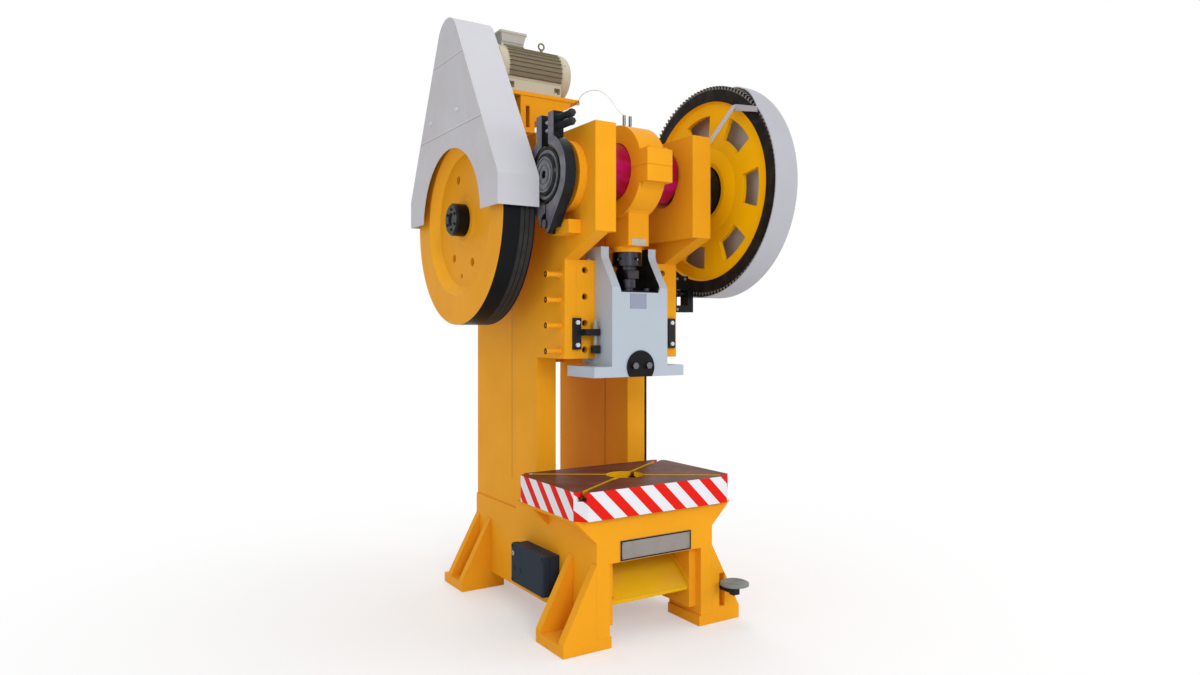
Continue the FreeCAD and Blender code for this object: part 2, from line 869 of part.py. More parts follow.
def slide_body():
    body = slide_profile().extrude(V(2 * slide_half, 0, 0))
    flange_top = slide_bottom + flange_thick
    flange = box(-flange_half, flange_half, slide_front, slide_back, slide_bottom, flange_top)
    tongues = [
        box(slide_half - 1, slide_half + tongue, tongue_front, tongue_back, tongue_bottom, tongue_top),
        box(-slide_half - tongue, -slide_half + 1, tongue_front, tongue_back, tongue_bottom, tongue_top),
    ]
    body = join([body, flange] + tongues)
    cavity = box(-cavity_half, cavity_half, cavity_front, cavity_back, cavity_floor, horn_top + 1)
    front_window = plate_xz([
        (-cavity_half + 7, window_sill),
        (cavity_half - 7, window_sill),
        (cavity_half, cheek_break),
        (cavity_half, horn_top + 1),
        (-cavity_half, horn_top + 1),
        (-cavity_half, cheek_break),
    ], slide_front - 1, cavity_front + 1)
    back_window = box(-cavity_half, cavity_half, cavity_back - 1, slide_back + 1, back_wall_top, horn_top + 1)
    shank_bore = rod_z(0, 0, tool_shank_r, slide_bottom - 1, slide_bottom + tool_shank_depth)
    return body.cut([cavity, front_window, back_window, shank_bore, shank_arch()])


def shank_clamp():
    """Round clamp for the tool shank, cut off flush with the slide's lower face."""
    front = slide_front - clamp_proud
    disc = rod_y(0, slide_bottom + arch_rise, arch_r - soft_gap, front, -clamp_split)
    bore = rod_z(0, 0, tool_shank_r, slide_bottom - 1, slide_bottom + tool_shank_depth)
    below = box(-arch_r, arch_r, front - 1, 1, slide_bottom - 2 * arch_r, slide_bottom)
    return disc.cut([bore, below])


def slide_screws():
    """Two clamp bolts at the front and four hexagon screws on the ball retainer."""
    front = slide_front - clamp_proud
    z = slide_bottom + clamp_bolt_rise
    screws = []
    for x in (-clamp_bolt_x, clamp_bolt_x):
        screws.append(hex_bolt((x, front, z), (0, -1, 0), 30.0, 16.0))
    top = retainer_top
    for x in (-88, 88):
        for y in (-45, 78):
            screws.append(hex_bolt((x, y, top), (0, 0, 1), 24.0, 14.0))
    return group(screws)


def ball_path(turn):
    """Ball centre seen from the slide when the crank has turned by this angle."""
    angle = math.radians(turn)
    across = crank_throw * math.sin(angle)
    rise = -crank_throw * (1 - math.cos(angle)) + slide_travel * angle / math.pi
    return across, rise


def ball_seat():
    """Bearing block under the screw ball, relieved to the back along the ball's open path."""
    back = cavity_back
    block = box(-cavity_half, cavity_half, cavity_front, back, cavity_floor, retainer_bottom)
    lowest = min(ball_path(turn)[1] for turn in range(0, 181, 5)) - soft_gap
    knee = -lowest * math.pi / 2
    r = ball_r + soft_gap
    level = V(0, 0, ball_z)
    low = V(0, knee, ball_z + lowest)
    slope = low - level
    channel = box(-r, r, 0, back + 1, ball_z + lowest, retainer_bottom + 1)
    cuts = [
        Part.makeSphere(r, level),
        rod_z(0, 0, r, ball_z, retainer_bottom + 1),
        Part.makeCylinder(r, slope.Length, level, slope),
        Part.makeSphere(r, low),
        rod_y(0, ball_z + lowest, r, knee, back + 1),
        channel,
    ]
    return block.cut(cuts)


def ball_retainer():
    """Horseshoe plate over the ball; its throat opens to the back."""
    top = retainer_top
    r = neck_r + 1.0
    plate = box(-cavity_half, cavity_half, cavity_front, cavity_back, retainer_bottom, top)
    throat = [
        rod_z(0, 0, r, retainer_bottom - 1, top + 1),
        box(-r, r, 0, cavity_back + 1, retainer_bottom - 1, top + 1),
    ]
    return plate.cut(throat)


# ---------------------------------------------------------------- pitman
def pitman_blank():
    """Whole connecting-rod blank before the big end is split."""
    ring = rod_x(0, eccentric_z, pitman_r, -pitman_half, pitman_half)
    low = eccentric_z - flange_half_height
    high = eccentric_z + flange_half_height
    flanges = box(-pitman_half, pitman_half, -flange_reach, flange_reach, low, high)
    neck = plate_yz([
        (-pitman_r, low),
        (pitman_r, low),
        (shank_back, shank_knee - 20),
        (shank_back, shank_bottom),
        (shank_front, shank_bottom),
        (shank_front, shank_knee),
    ], -shank_half, shank_half)
    collar = rod_z(0, 0, collar_r, shank_bottom - collar_thick, shank_bottom)
    shape = join([ring, flanges, neck, collar])
    bore = rod_x(0, eccentric_z, pitman_bore_r, -pitman_half + pitman_lip, pitman_half - pitman_lip)
    lips = rod_x(0, eccentric_z, pitman_lip_r, -pitman_half - 1, pitman_half + 1)
    return shape.cut([bore, lips])


def pitman_body():
    lower = box(
        -pitman_half, pitman_half, -flange_reach, flange_reach,
        collar_bottom, eccentric_z - split_gap,
    )
    hole = rod_z(0, 0, screw_r, collar_bottom - 1, screw_top)
    setscrew = rod_x(-15.0, shank_bottom + 59, setscrew_r, -shank_half - 1, -screw_r - 1)
    return pitman_blank().common(lower).cut([hole, setscrew])


def pitman_cap():
    upper = box(
        -pitman_half, pitman_half, -flange_reach, flange_reach,
        eccentric_z + split_gap, eccentric_z + pitman_r,
    )
    return pitman_blank().common(upper)


def pitman_bush():
    outer = rod_x(0, eccentric_z, pitman_bore_r, -pitman_half + pitman_lip, pitman_half - pitman_lip)
    return outer.cut(rod_x(0, eccentric_z, eccentric_r + shaft_gap, -pitman_half, pitman_half))


def pitman_bolts():
    bolts = []
    top = eccentric_z + flange_half_height
    for y in (24 - flange_reach, flange_reach - 24):
        for x in (-46, 46):
            bolts.append(hex_bolt((x, y, top), (0, 0, 1), 24.0, 10.0))
    return group(bolts)


def adjusting_screw():
    shoulder = retainer_top + 15.0
    thread = rod_z(0, 0, screw_r, shoulder, screw_top)
    neck = rod_z(0, 0, neck_r, ball_z, shoulder)
    return join([thread, neck, Part.makeSphere(ball_r, V(0, 0, ball_z))])


def screw_nut():
    top = collar_bottom
    ring = rod_z(0, 0, nut_r, top - nut_thick, top).cut(rod_z(0, 0, screw_r, top - nut_thick - 1, top + 1))
    holes = []
    for k in range(6):
        angle = math.radians(60 * k + 30)
        direction = V(math.cos(angle), math.sin(angle), 0)
        start = direction * (nut_r - 14) + V(0, 0, top - nut_thick / 2)
        holes.append(Part.makeCylinder(8.0, 20.0, start, direction))
    return ring.cut(holes)


def oil_cups():
    top = eccentric_z + pitman_r
    cups = []
    for x in (-cup_x, cup_x):
        stem = rod_z(x, 0, cup_r * 0.6, top, top + cup_height - 14)
        pot = rod_z(x, 0, cup_r, top + 12, top + cup_height)
        cups.append(join([stem, pot]))
    return group(cups)


# ---------------------------------------------------------------- crankshaft and brake
def crankshaft():
    outline = [
        (shaft_left_end, 0),
        (shaft_left_end, brake_seat_r),
        (left_boss_face - 4, brake_seat_r),
        (left_boss_face - 4, journal_r),
        (right_boss_face + 4, journal_r),
        (right_boss_face + 4, gear_seat_r),
        (shaft_right_end, gear_seat_r),
        (shaft_right_end, 0),
    ]
    shaft = turned_x(outline, 0, crank_z)
    eccentric = rod_x(0, eccentric_z, eccentric_r, -eccentric_half, eccentric_half)
    return join([shaft, eccentric])


def shaft_bushes():
    """Plain bushes of the crankshaft and the countershaft in the side frames."""
    counter_end = frame_half_width + counter_boss
    return group([
        tube_x(0, crank_z, bush_r, journal_r + shaft_gap, left_boss_face, -plate_inner),
        tube_x(0, crank_z, bush_r, journal_r + shaft_gap, plate_inner, right_boss_face),
        tube_x(flywheel_y, flywheel_z, counter_bush_r, counter_r + shaft_gap, -counter_end, -plate_inner),
        tube_x(flywheel_y, flywheel_z, counter_bush_r, counter_r + shaft_gap, plate_inner, counter_end),
    ])


def brake_drum():
    """Turned drum: a raised centre disc with two fine grooves stands proud of the rim."""
    outer = drum_face
    step = brake_face
    profile = [(outer, 18.0)]
    for r in (44.0, 72.0):
        profile += [(outer, r - 3), (outer + 3, r - 3), (outer + 3, r + 3), (outer, r + 3)]
    profile += [
        (outer, drum_disc_r),
        (step, drum_disc_r + 3),
        (step, drum_r),
        (brake_back, drum_r),
        (brake_back, brake_seat_r),
        (shaft_left_end, brake_seat_r),
        (shaft_left_end, 18.0),
    ]
    return turned_x(profile, 0, crank_z)


def brake_linings():
    """Two friction linings, one inside each shoe, open at the top and bottom."""
    x0 = brake_face + lining_inset
    x1 = brake_back - lining_inset
    ring = tube_x(0, crank_z, lining_r, drum_r + soft_gap, x0, x1)
    split = box(x0 - 1, x1 + 1, -lining_split, lining_split, crank_z - shoe_r, crank_z + shoe_r)
    return ring.cut(split)


def brake_shoe(front):
    """One half of the cast brake: half ring, hinge lug below and clamping ear above."""
    x0 = brake_face
    x1 = brake_back
    pin_z = brake_pin_z
    ring = rod_x(0, crank_z, shoe_r, x0, x1)
    lug = rod_x(0, pin_z, brake_lug_r, x0, x1)
    lean = math.asin((shoe_r - brake_lug_r) / brake_pin_drop)
    side = -1 if front else 1
    web = plate_yz([
        (0, crank_z),
        (side * shoe_r * math.cos(lean), crank_z - shoe_r * math.sin(lean)),
        (side * brake_lug_r * math.cos(lean), pin_z - brake_lug_r * math.sin(lean)),
        (0, pin_z),
    ], x0, x1)
    near = ear_front_near if front else ear_rear_near
    far = near + side * ear_thick
    ear = box(x0, x1, min(near, far), max(near, far), crank_z + 100, ear_top)
    low = pin_z - 2 * brake_lug_r
    keep_near = side * shoe_split / 2
    keep_far = side * 2 * shoe_r
    keep = box(x0, x1, min(keep_near, keep_far), max(keep_near, keep_far), low, ear_top)
    shape = join([join([ring, lug, web]).common(keep), ear])
    cuts = [
        rod_x(0, crank_z, lining_r, x0 - 1, x1 + 1),
        rod_x(0, pin_z, brake_pin_r, x0 - 1, x1 + 1),
        box(x0 - 1, x1 + 1, ear_front_near, ear_rear_near, crank_z + drum_r, ear_top + 1),
    ]
    for z in (stud_z_high, stud_z_low):
        cuts.append(rod_y(brake_middle, z, stud_r, -shoe_r, shoe_r))
    # the two halves share the hinge pin: the front one keeps the outer cheek
    ends = (brake_middle, x1 + 1) if front else (x0 - 1, brake_middle)
    cheek = rod_x(0, pin_z, brake_lug_r + 6, ends[0], ends[1])
    rim = (side * brake_lug_r, side * 2 * shoe_r)
    beside = box(x0 - 2, x1 + 2, min(rim), max(rim), low, ear_top)
    return shape.cut(cuts + [cheek.cut(beside)])


def brake_pin():
    shank = rod_x(0, brake_pin_z, brake_pin_r, brake_face, -frame_half_width)
    head = rod_x(0, brake_pin_z, brake_pin_r + 7, drum_face, brake_face)
    return join([shank, head])


def brake_studs():
    """Two studs through the ears, with nuts and washers on both sides of the springs."""
    x = brake_middle
    studs = []
    for z in (stud_z_high, stud_z_low):
        back = ear_rear_near + ear_thick
        front_ear = ear_front_near - ear_thick
        studs.append(join([
            rod_y(x, z, stud_r, stud_front, back),
            hexagon(V(x, back, z), (0, 1, 0), 24.0, 13.0),
            rod_y(x, z, washer_r, front_ear - washer_thick, front_ear),
            rod_y(x, z, washer_r, stud_front + stud_nut, stud_front + stud_nut + washer_thick),
            hexagon(V(x, stud_front + 2, z), (0, 1, 0), 26.0, stud_nut - 2),
        ]))
    return group(studs)


def helix_point(centre_x, centre_z, start_y, pitch, turn):
    angle = 2 * math.pi * turn
    return V(
        centre_x + spring_mean_r * math.cos(angle),
        start_y - pitch * turn,
        centre_z + spring_mean_r * math.sin(angle),
    )


def helix_tangent(pitch, turn):
    angle = 2 * math.pi * turn
    girth = 2 * math.pi * spring_mean_r
    return V(-girth * math.sin(angle), -pitch, girth * math.cos(angle)).normalize()


def tangent_arc(start, direction, end):
    """Arc that leaves start along a direction and ends at end."""
    chord = end - start
    lean = direction.getAngle(chord)
    leg = chord.Length / 2 / math.cos(lean)
    knee = start + direction * leg
    centre = start + chord * 0.5
    middle = centre + (knee - centre) * (math.tan(lean / 2) / math.tan(lean))
    return Part.Arc(start, middle, end).toShape()


def biarc(start, leaving, end, arriving):
    """Two arcs that meet smoothly between two points with given directions."""
    gap = end - start
    both = leaving + arriving
    spread = 2 * (1 - leaving.dot(arriving))
    leg = (math.sqrt(gap.dot(both) ** 2 + spread * gap.dot(gap)) - gap.dot(both)) / spread
    meet = (start + end + (leaving - arriving) * leg) * 0.5
    onward = (end - arriving * leg - meet).normalize()
    return [tangent_arc(start, leaving, meet), tangent_arc(meet, onward, end)]


def spring_path(centre_x, centre_z, start_y, pitch):
    """Helix as one biarc for each quarter turn."""
    arcs = []
    for k in range(4 * spring_curls):
        start = helix_point(centre_x, centre_z, start_y, pitch, k / 4)
        end = helix_point(centre_x, centre_z, start_y, pitch, (k + 1) / 4)
        arcs += biarc(start, helix_tangent(pitch, k / 4), end, helix_tangent(pitch, (k + 1) / 4))
    return Part.Wire(arcs)


def spring_gap(path):
    """Least distance between the surfaces of neighbouring curls, on sampled points."""
    points = path.discretize(Number=24 * spring_curls + 1)
    least = min(
        (a - b).Length
        for i, a in enumerate(points)
        for b in points[i + 12:]
    )
    return least - 2 * spring_wire_r


def brake_spring(z):
    """Compression spring between the washers of one stud, as one unbroken tube."""
    rear_seat = ear_front_near - ear_thick - washer_thick
    front_seat = stud_front + stud_nut + washer_thick
    seat = spring_wire_r + spring_seat_gap
    pitch = (rear_seat - front_seat - 2 * seat) / spring_curls
    x = brake_middle
    path = spring_path(x, z, rear_seat - seat, pitch)
    start = helix_point(x, z, rear_seat - seat, pitch, 0)
    circle = Part.Wire(Part.Circle(start, helix_tangent(pitch, 0), spring_wire_r).toShape())
    print("brake spring gap between curls %.2f" % spring_gap(path))
    return path.makePipeShell([circle], True, False)


# ---------------------------------------------------------------- flywheel and countershaft
def flywheel():
    face = flywheel_face
    back = flywheel_back
    web_out = face + flywheel_dish
    web_in = web_out + flywheel_web
    outline = [
        (face, flywheel_r),
        (face, flywheel_land_r),
        (web_out, flywheel_dish_r),
        (web_out, flywheel_hub_r + 24),
        (hub_face, flywheel_hub_r),
        (hub_face, counter_r),
        (back - 20, counter_r),
        (back - 20, flywheel_hub_r),
        (web_in, flywheel_hub_r + 20),
        (web_in, flywheel_r - 90),
        (back, flywheel_r - 64),
        (back, flywheel_r),
    ]
    wheel = turned_x(outline, flywheel_y, flywheel_z)
    cuts = []
    floor_r = flywheel_r - belt_thick - soft_gap
    for k in range(belt_count):
        x = belt_first + k * belt_pitch
        cuts.append(tube_x(flywheel_y, flywheel_z, flywheel_r + 5, floor_r, x, x + belt_groove))
    for angle in (68, 248, 308):
        y = flywheel_y + lift_hole_ring * math.cos(math.radians(angle))
        z = flywheel_z + lift_hole_ring * math.sin(math.radians(angle))
        cuts.append(rod_x(y, z, lift_hole_r, web_out - 1, web_in + 1))
    y = flywheel_y + balance_hole_ring * math.cos(math.radians(279))
    z = flywheel_z + balance_hole_ring * math.sin(math.radians(279))
    cuts.append(rod_x(y, z, balance_hole_r, web_out - 1, web_out + 24))
    return wheel.cut(cuts)


def flywheel_cap():
    """Black retaining cap on the end of the countershaft."""
    outline = [
        (hub_face, 0),
        (hub_face, hub_cap_r),
        (hub_cap_end + 10, hub_cap_r),
        (hub_cap_end, hub_cap_r - 10),
        (hub_cap_end, 34),
        (hub_cap_end + 8, 30),
        (hub_cap_end + 8, 0),
    ]
    return turned_x(outline, flywheel_y, flywheel_z)


def drive_belts():
    """V-belts, each a closed loop round the motor pulley and the flywheel."""
    belts = []
    dy = motor_y - flywheel_y
    dz = motor_z - flywheel_z
    span = math.hypot(dy, dz)
    for k in range(belt_count):
        x = belt_first + k * belt_pitch + soft_gap
        belts.append(belt_loop(x, span, math.atan2(dz, dy)))
    return group(belts)


def belt_loop(x, span, heading):
    """Open belt round two circles: outer loop minus inner loop."""
    loops = []
    for inset in (0.0, belt_thick):
        big = flywheel_r - inset
        small = pulley_r - inset
        lean = math.asin((big - small) / span)
        points = []
        for side in (1, -1):
            angle = heading + side * (math.pi / 2 - lean)
            direction = V(0, math.cos(angle), math.sin(angle))
            points.append((
                V(x, flywheel_y, flywheel_z) + direction * big,
                V(x, motor_y, motor_z) + direction * small,
            ))
        far = V(0, math.cos(heading), math.sin(heading))
        top = V(x, motor_y, motor_z) + far * small
        bottom = V(x, flywheel_y, flywheel_z) - far * big
        edges = [
            Part.Arc(points[0][0], bottom, points[1][0]).toShape(),
            Part.LineSegment(points[1][0], points[1][1]).toShape(),
            Part.Arc(points[1][1], top, points[0][1]).toShape(),
            Part.LineSegment(points[0][1], points[0][0]).toShape(),
        ]
        loops.append(Part.Face(Part.Wire(edges)).extrude(V(belt_width, 0, 0)))
    return loops[0].cut(loops[1])


def tooth_angle_at(r, pitch_r, teeth):
    """Half angle that a tooth fills at radius r, from the involute of the base circle."""
    pressure = math.radians(pressure_angle)
    base = pitch_r * math.cos(pressure)
    at = math.acos(min(1.0, base / max(r, base)))
    rolled = math.tan(pressure) - pressure
    half = (math.pi / teeth) / 2 - gear_backlash / (4 * pitch_r)
    return half + rolled - (math.tan(at) - at)


def toothed_blank(teeth, centre_y, centre_z, x0, x1, turn):
    """Prism with straight-cut teeth; turn is the angle of the first tooth's centre."""
    pitch_r = gear_module * teeth / 2
    root_r = pitch_r - 1.25 * gear_module
    tip_r = pitch_r + gear_module
    radii = (root_r, pitch_r - gear_module / 3, pitch_r + gear_module / 2, tip_r)
    points = []
    for k in range(teeth):
        centre = turn + 2 * math.pi * k / teeth
        for side, order in ((-1, radii), (1, radii[::-1])):
            for r in order:
                angle = centre + side * tooth_angle_at(r, pitch_r, teeth)
                points.append((centre_y + r * math.cos(angle), centre_z + r * math.sin(angle)))
    return plate_yz(points, x0, x1)


def mesh_angle():
    return math.atan2(flywheel_z - crank_z, flywheel_y)


def bull_gear():
    """Spur gear: toothed rim, web with seven windows and a flared hub with an open mouth."""
    right = gear_right
    gear = toothed_blank(gear_teeth, 0, crank_z, gear_left, right, mesh_angle())
    web_left = gear_left + gear_web_inset
    web_right = web_left + gear_web
    pocket_left = turned_x([
        (gear_left - 1, gear_hub_r),
        (gear_left, gear_hub_r),
        (web_left, gear_hub_root_r),
        (web_left, gear_rim_r - gear_web_inset / 2),
        (gear_left, gear_rim_r),
        (gear_left - 1, gear_rim_r),
    ], 0, crank_z)
    pocket_right = tube_x(0, crank_z, gear_rim_r, gear_hub_r, web_right, right + 1)
    cuts = [
        pocket_left,
        pocket_right,
        rod_x(0, crank_z, gear_seat_r + shaft_gap, gear_left - 1, right + 1),
        rod_x(0, crank_z, clutch_r + clutch_gap, gear_left - 1, gear_left + hub_mouth_depth),
    ]
    for k in range(window_count):
        cuts.append(gear_window(180 + window_turn + 360 * k / window_count, web_left - 1, web_right + 1))
    return gear.cut(cuts)


def gear_window(turn, x0, x1):
    """Window between two arcs, with radial sides."""
    half = math.radians(window_half_angle)
    outer = [V(x0, window_outer * math.cos(a), window_outer * math.sin(a)) for a in (-half, 0, half)]
    inner = [V(x0, window_inner * math.cos(a), window_inner * math.sin(a)) for a in (-half, 0, half)]
    edges = [
        Part.Arc(outer[0], outer[1], outer[2]).toShape(),
        Part.LineSegment(outer[2], inner[2]).toShape(),
        Part.Arc(inner[2], inner[1], inner[0]).toShape(),
        Part.LineSegment(inner[0], outer[0]).toShape(),
    ]
    shape = Part.Face(Part.Wire(edges)).extrude(V(x1 - x0, 0, 0))
    shape.rotate(V(0, 0, 0), V(1, 0, 0), turn)
    shape.translate(V(0, 0, crank_z))
    return shape


def clutch_disc():
    """Black clutch ring fixed to the crankshaft, with its catch in the mouth of the gear hub."""
    right = gear_left + hub_mouth_depth - clutch_gap
    ring = turned_x([
        (clutch_left, gear_seat_r),
        (clutch_left, clutch_r - 14),
        (clutch_left + 14, clutch_r),
        (right, clutch_r),
        (right, gear_seat_r),
    ], 0, crank_z)
    catch = box(clutch_left + 30, clutch_left + 74, -24, 24, crank_z - clutch_r - 20, crank_z - clutch_r + 10)
    return join([ring, catch])


def countershaft():
    """Shaft through both side frames with the pinion cut on its right end."""
    right = gear_right
    mesh = mesh_angle() + math.pi
    pinion = toothed_blank(
        pinion_teeth, flywheel_y, flywheel_z, gear_left, right,
        mesh + math.pi / pinion_teeth,
    )
    shaft = rod_x(flywheel_y, flywheel_z, counter_r, hub_face, right + 8)
    return join([shaft, pinion])


# ---------------------------------------------------------------- guards
def tangent_outline(x, circle_a, circle_b, side_a, side_b):
    """Tangent points of the outer lines from circle a to circle b."""
    ya, za, ra = circle_a
    yb, zb, rb = circle_b
    span = math.hypot(yb - ya, zb - za)
    heading = math.atan2(zb - za, yb - ya)
    lean = math.acos((ra - rb) / span)
    pairs = []
    for side in (side_a, side_b):
        angle = heading + side * lean
        direction = V(0, math.cos(angle), math.sin(angle))
        pairs.append((V(x, ya, za) + direction * ra, V(x, yb, zb) + direction * rb))
    return pairs


def gear_guard_face(x, inset):
    """Outline round the bull gear and the pinion."""
    big = (0.0, crank_z, gear_guard_r - inset)
    small = (flywheel_y, flywheel_z, pinion_guard_r - inset)
    pairs = tangent_outline(x, big, small, 1, -1)
    heading = V(0, flywheel_y, flywheel_z - crank_z).normalize()
    far_big = V(x, 0, crank_z) - heading * big[2]
    far_small = V(x, flywheel_y, flywheel_z) + heading * small[2]
    edges = [
        Part.Arc(pairs[0][0], far_big, pairs[1][0]).toShape(),
        Part.LineSegment(pairs[1][0], pairs[1][1]).toShape(),
        Part.Arc(pairs[1][1], far_small, pairs[0][1]).toShape(),
        Part.LineSegment(pairs[0][1], pairs[0][0]).toShape(),
    ]
    return Part.Face(Part.Wire(edges))


def gear_guard():
    """Pan-shaped sheet guard, its rim open over the top of the gear, held by a bent strap."""
    depth = gear_guard_disc - gear_guard_left
    outer = gear_guard_face(gear_guard_left, 0.0).extrude(V(depth + guard_sheet, 0, 0))
    inner = gear_guard_face(gear_guard_left - 1, guard_sheet).extrude(V(depth + 1, 0, 0))
    pan = outer.cut(inner)
    return join([pan.cut(guard_opening()), guard_strap(math.radians(180 - guard_start_near))])


def guard_opening():
    """Wedge that opens the rim over the gear; its front end is cut on the slant."""
    reach = 1.2 * gear_guard_r
    centre_y = 0.8 * gear_guard_r
    faces = []
    for x, start in ((gear_guard_left, guard_start_near), (gear_guard_disc, guard_start_far)):
        angle = math.radians(180 - start)
        ends = [
            V(x, 0, crank_z),
            V(x, reach * math.cos(angle), crank_z + reach * math.sin(angle)),
            V(x, reach * math.cos(angle), crank_z + reach),
            V(x, reach, crank_z + reach),
            V(x, centre_y, crank_z + 0.35 * gear_guard_r),
        ]
        faces.append(Part.makePolygon(ends + [ends[0]]))
    opening = Part.makeLoft(faces, True, True)
    return opening.fuse(Part.Face(faces[0]).extrude(V(-1, 0, 0)))


def guard_strap(rim_angle):
    """Bent flat bar from the right cheek to the end of the gear guard's rim."""
    x = gear_guard_left - strap_thick
    rim_r = gear_guard_r - guard_sheet / 2
    foot_end = V(frame_half_width, head_front + strap_foot_inset, head_top - strap_foot_drop)
    bend = V(x, strap_bend_y, strap_bend_z)
    rim = V(x, rim_r * math.cos(rim_angle), crank_z + rim_r * math.sin(rim_angle))
    side = V(0, 1, 0) * strap_width
    rise = V(0, 0, 1) * strap_width
    thick = V(strap_thick, 0, 0)
    slanted = prism([
        foot_end, foot_end + side, bend + side, bend,
    ], V(strap_thick, 0, -strap_thick))
    flat = prism([
        bend + side, bend + side - rise, rim - rise, rim + V(0, -4, 0), bend,
    ], thick * 2)
    foot_tab = box(
        frame_half_width, frame_half_width + strap_thick,
        foot_end.y, foot_end.y + strap_width, foot_end.z - 34, foot_end.z + 4,
    )
    return join([slanted, flat, foot_tab])


def belt_guard_profile(x, inset):
    """Closed outline: vertical legs, sloping sides and a round top."""
    front = belt_guard_front + inset
    back = belt_guard_back - inset
    r = belt_guard_top_r - inset
    top = V(x, belt_guard_top_y, belt_guard_top_z)
    tangents = []
    for y, side in ((front, 1), (back, -1)):
        bend = V(x, y, belt_guard_bend)
        away = top - bend
        heading = math.atan2(away.z, away.y) + side * math.asin(r / away.Length)
        length = math.sqrt(away.Length ** 2 - r ** 2)
        tangents.append(bend + V(0, math.cos(heading), math.sin(heading)) * length)
    low = belt_guard_bottom - 1 if inset else belt_guard_bottom
    edges = [
        Part.LineSegment(V(x, back, low), V(x, front, low)).toShape(),
        Part.LineSegment(V(x, front, low), V(x, front, belt_guard_bend)).toShape(),
        Part.LineSegment(V(x, front, belt_guard_bend), tangents[0]).toShape(),
        Part.Arc(tangents[0], top + V(0, 0, r), tangents[1]).toShape(),
        Part.LineSegment(tangents[1], V(x, back, belt_guard_bend)).toShape(),
        Part.LineSegment(V(x, back, belt_guard_bend), V(x, back, low)).toShape(),
    ]
    return Part.Face(Part.Wire(edges))


def belt_guard():
    """Folded sheet guard: outer face with an arch over the hub, band round the edge."""
    depth = belt_guard_inner - belt_guard_face
    outer = belt_guard_profile(belt_guard_face, 0.0).extrude(V(depth, 0, 0))
    inner_x = belt_guard_face + belt_guard_sheet
    inner = belt_guard_profile(inner_x, belt_guard_sheet).extrude(V(depth, 0, 0))
    shell = outer.cut(inner)
    arch = [
        rod_x(guard_arch_y, guard_arch_z, guard_arch_r, belt_guard_face - 1, inner_x + 1),
        box(
            belt_guard_face - 1, inner_x + 1, guard_arch_y - guard_arch_r, guard_arch_y + guard_arch_r,
            guard_arch_z - guard_arch_r / 2, guard_arch_z,
        ),
    ]
    return group([shell.cut(arch), belt_guard_back_plate()])


def belt_guard_back_plate():
    """Inner plate that closes the top of the guard and bolts to the motor bracket."""
    x0 = belt_guard_inner - belt_guard_sheet
    plate = belt_guard_profile(x0, belt_guard_sheet).extrude(V(belt_guard_sheet, 0, 0))
    cuts = [
        box(
            x0 - 1, belt_guard_inner + 1, belt_guard_front, belt_guard_back,
            belt_guard_bottom - 1, flywheel_z + flywheel_r + 30,
        ),
        rod_x(motor_y, motor_z, 70.0, x0 - 1, belt_guard_inner + 1),
    ]
    return plate.cut(cuts)


# ---------------------------------------------------------------- motor
def motor_bracket():
    """Welded bracket: top plate, tapering front web, slotted front leg and rear pedestal."""
    under = motor_plate_bottom
    leg_right = bracket_leg_left + bracket_leg_width
    leg_front = motor_plate_front + 4
    leg_back = motor_plate_front + bracket_leg_depth
    plate = box(
        motor_plate_left, motor_plate_right, motor_plate_front, motor_plate_back,
        under, motor_plate_top,
    )
    web = plate_xz([
        (bracket_leg_left, under + 1),
        (motor_plate_right - 40, under + 1),
        (motor_plate_right - 60, under - 34),
        (leg_right, under - 130),
        (bracket_leg_left, under - 130),
    ], leg_front, leg_front + 16)
    leg = box(bracket_leg_left, leg_right, leg_front, leg_back, bracket_leg_bottom, under + 1)
    middle = (bracket_leg_left + leg_right) / 2
    slot = box(
        middle - belt_slot_half, middle + belt_slot_half, leg_front - 1, leg_back + 1,
        belt_slot_bottom, belt_slot_top,
    )
    pedestal_back = motor_plate_back - 20
    pedestal = box(
        -frame_half_width, -plate_inner, pedestal_back - 160, pedestal_back, pedestal_top, under + 1,
    )
    stiffener = plate_yz([
        (leg_back - 4, under + 1),
        (pedestal_back - 150, under + 1),
        (pedestal_back - 150, bracket_leg_bottom + 20),
        (leg_back - 4, bracket_leg_bottom + 60),
    ], leg_right - 20, leg_right)
    cantilever = plate_xz([
        (-plate_inner - 1, under + 1),
        (motor_plate_right - 30, under + 1),
        (motor_plate_right - 30, under - 40),
        (-plate_inner - 1, under - 150),
    ], pedestal_back - 100, pedestal_back - 80)
    return join([plate, web, leg, pedestal, stiffener, cantilever]).cut(slot)


def motor_foot(side):
    """Foot rail along one side of the motor, with the flat flange that is bolted down."""
    foot_z = motor_plate_top
    edge = motor_foot_half
    return plate_yz([
        (motor_y + side * edge, foot_z),
        (motor_y + side * edge, foot_z + 62),
        (motor_y + side * (edge - 18), foot_z + 74),
        (motor_y + side * (edge - 56), motor_z - 90),
        (motor_y + side * (edge - 44), foot_z),
    ], motor_left + 34, motor_body_right - 6)


def bolt_pockets():
    """Pockets in the foot rails that bare the flange under each foot bolt."""
    pockets = []
    for x in (motor_left + 50, motor_body_right - 30):
        for side in (-1, 1):
            far = motor_y + side * (motor_foot_half + 1)
            near = motor_y + side * (motor_bolt_y - 18)
            pockets.append(box(
                x - 18, x + 18, min(far, near), max(far, near),
                motor_plate_top + motor_foot_thick, motor_plate_top + 48,
            ))
    return pockets


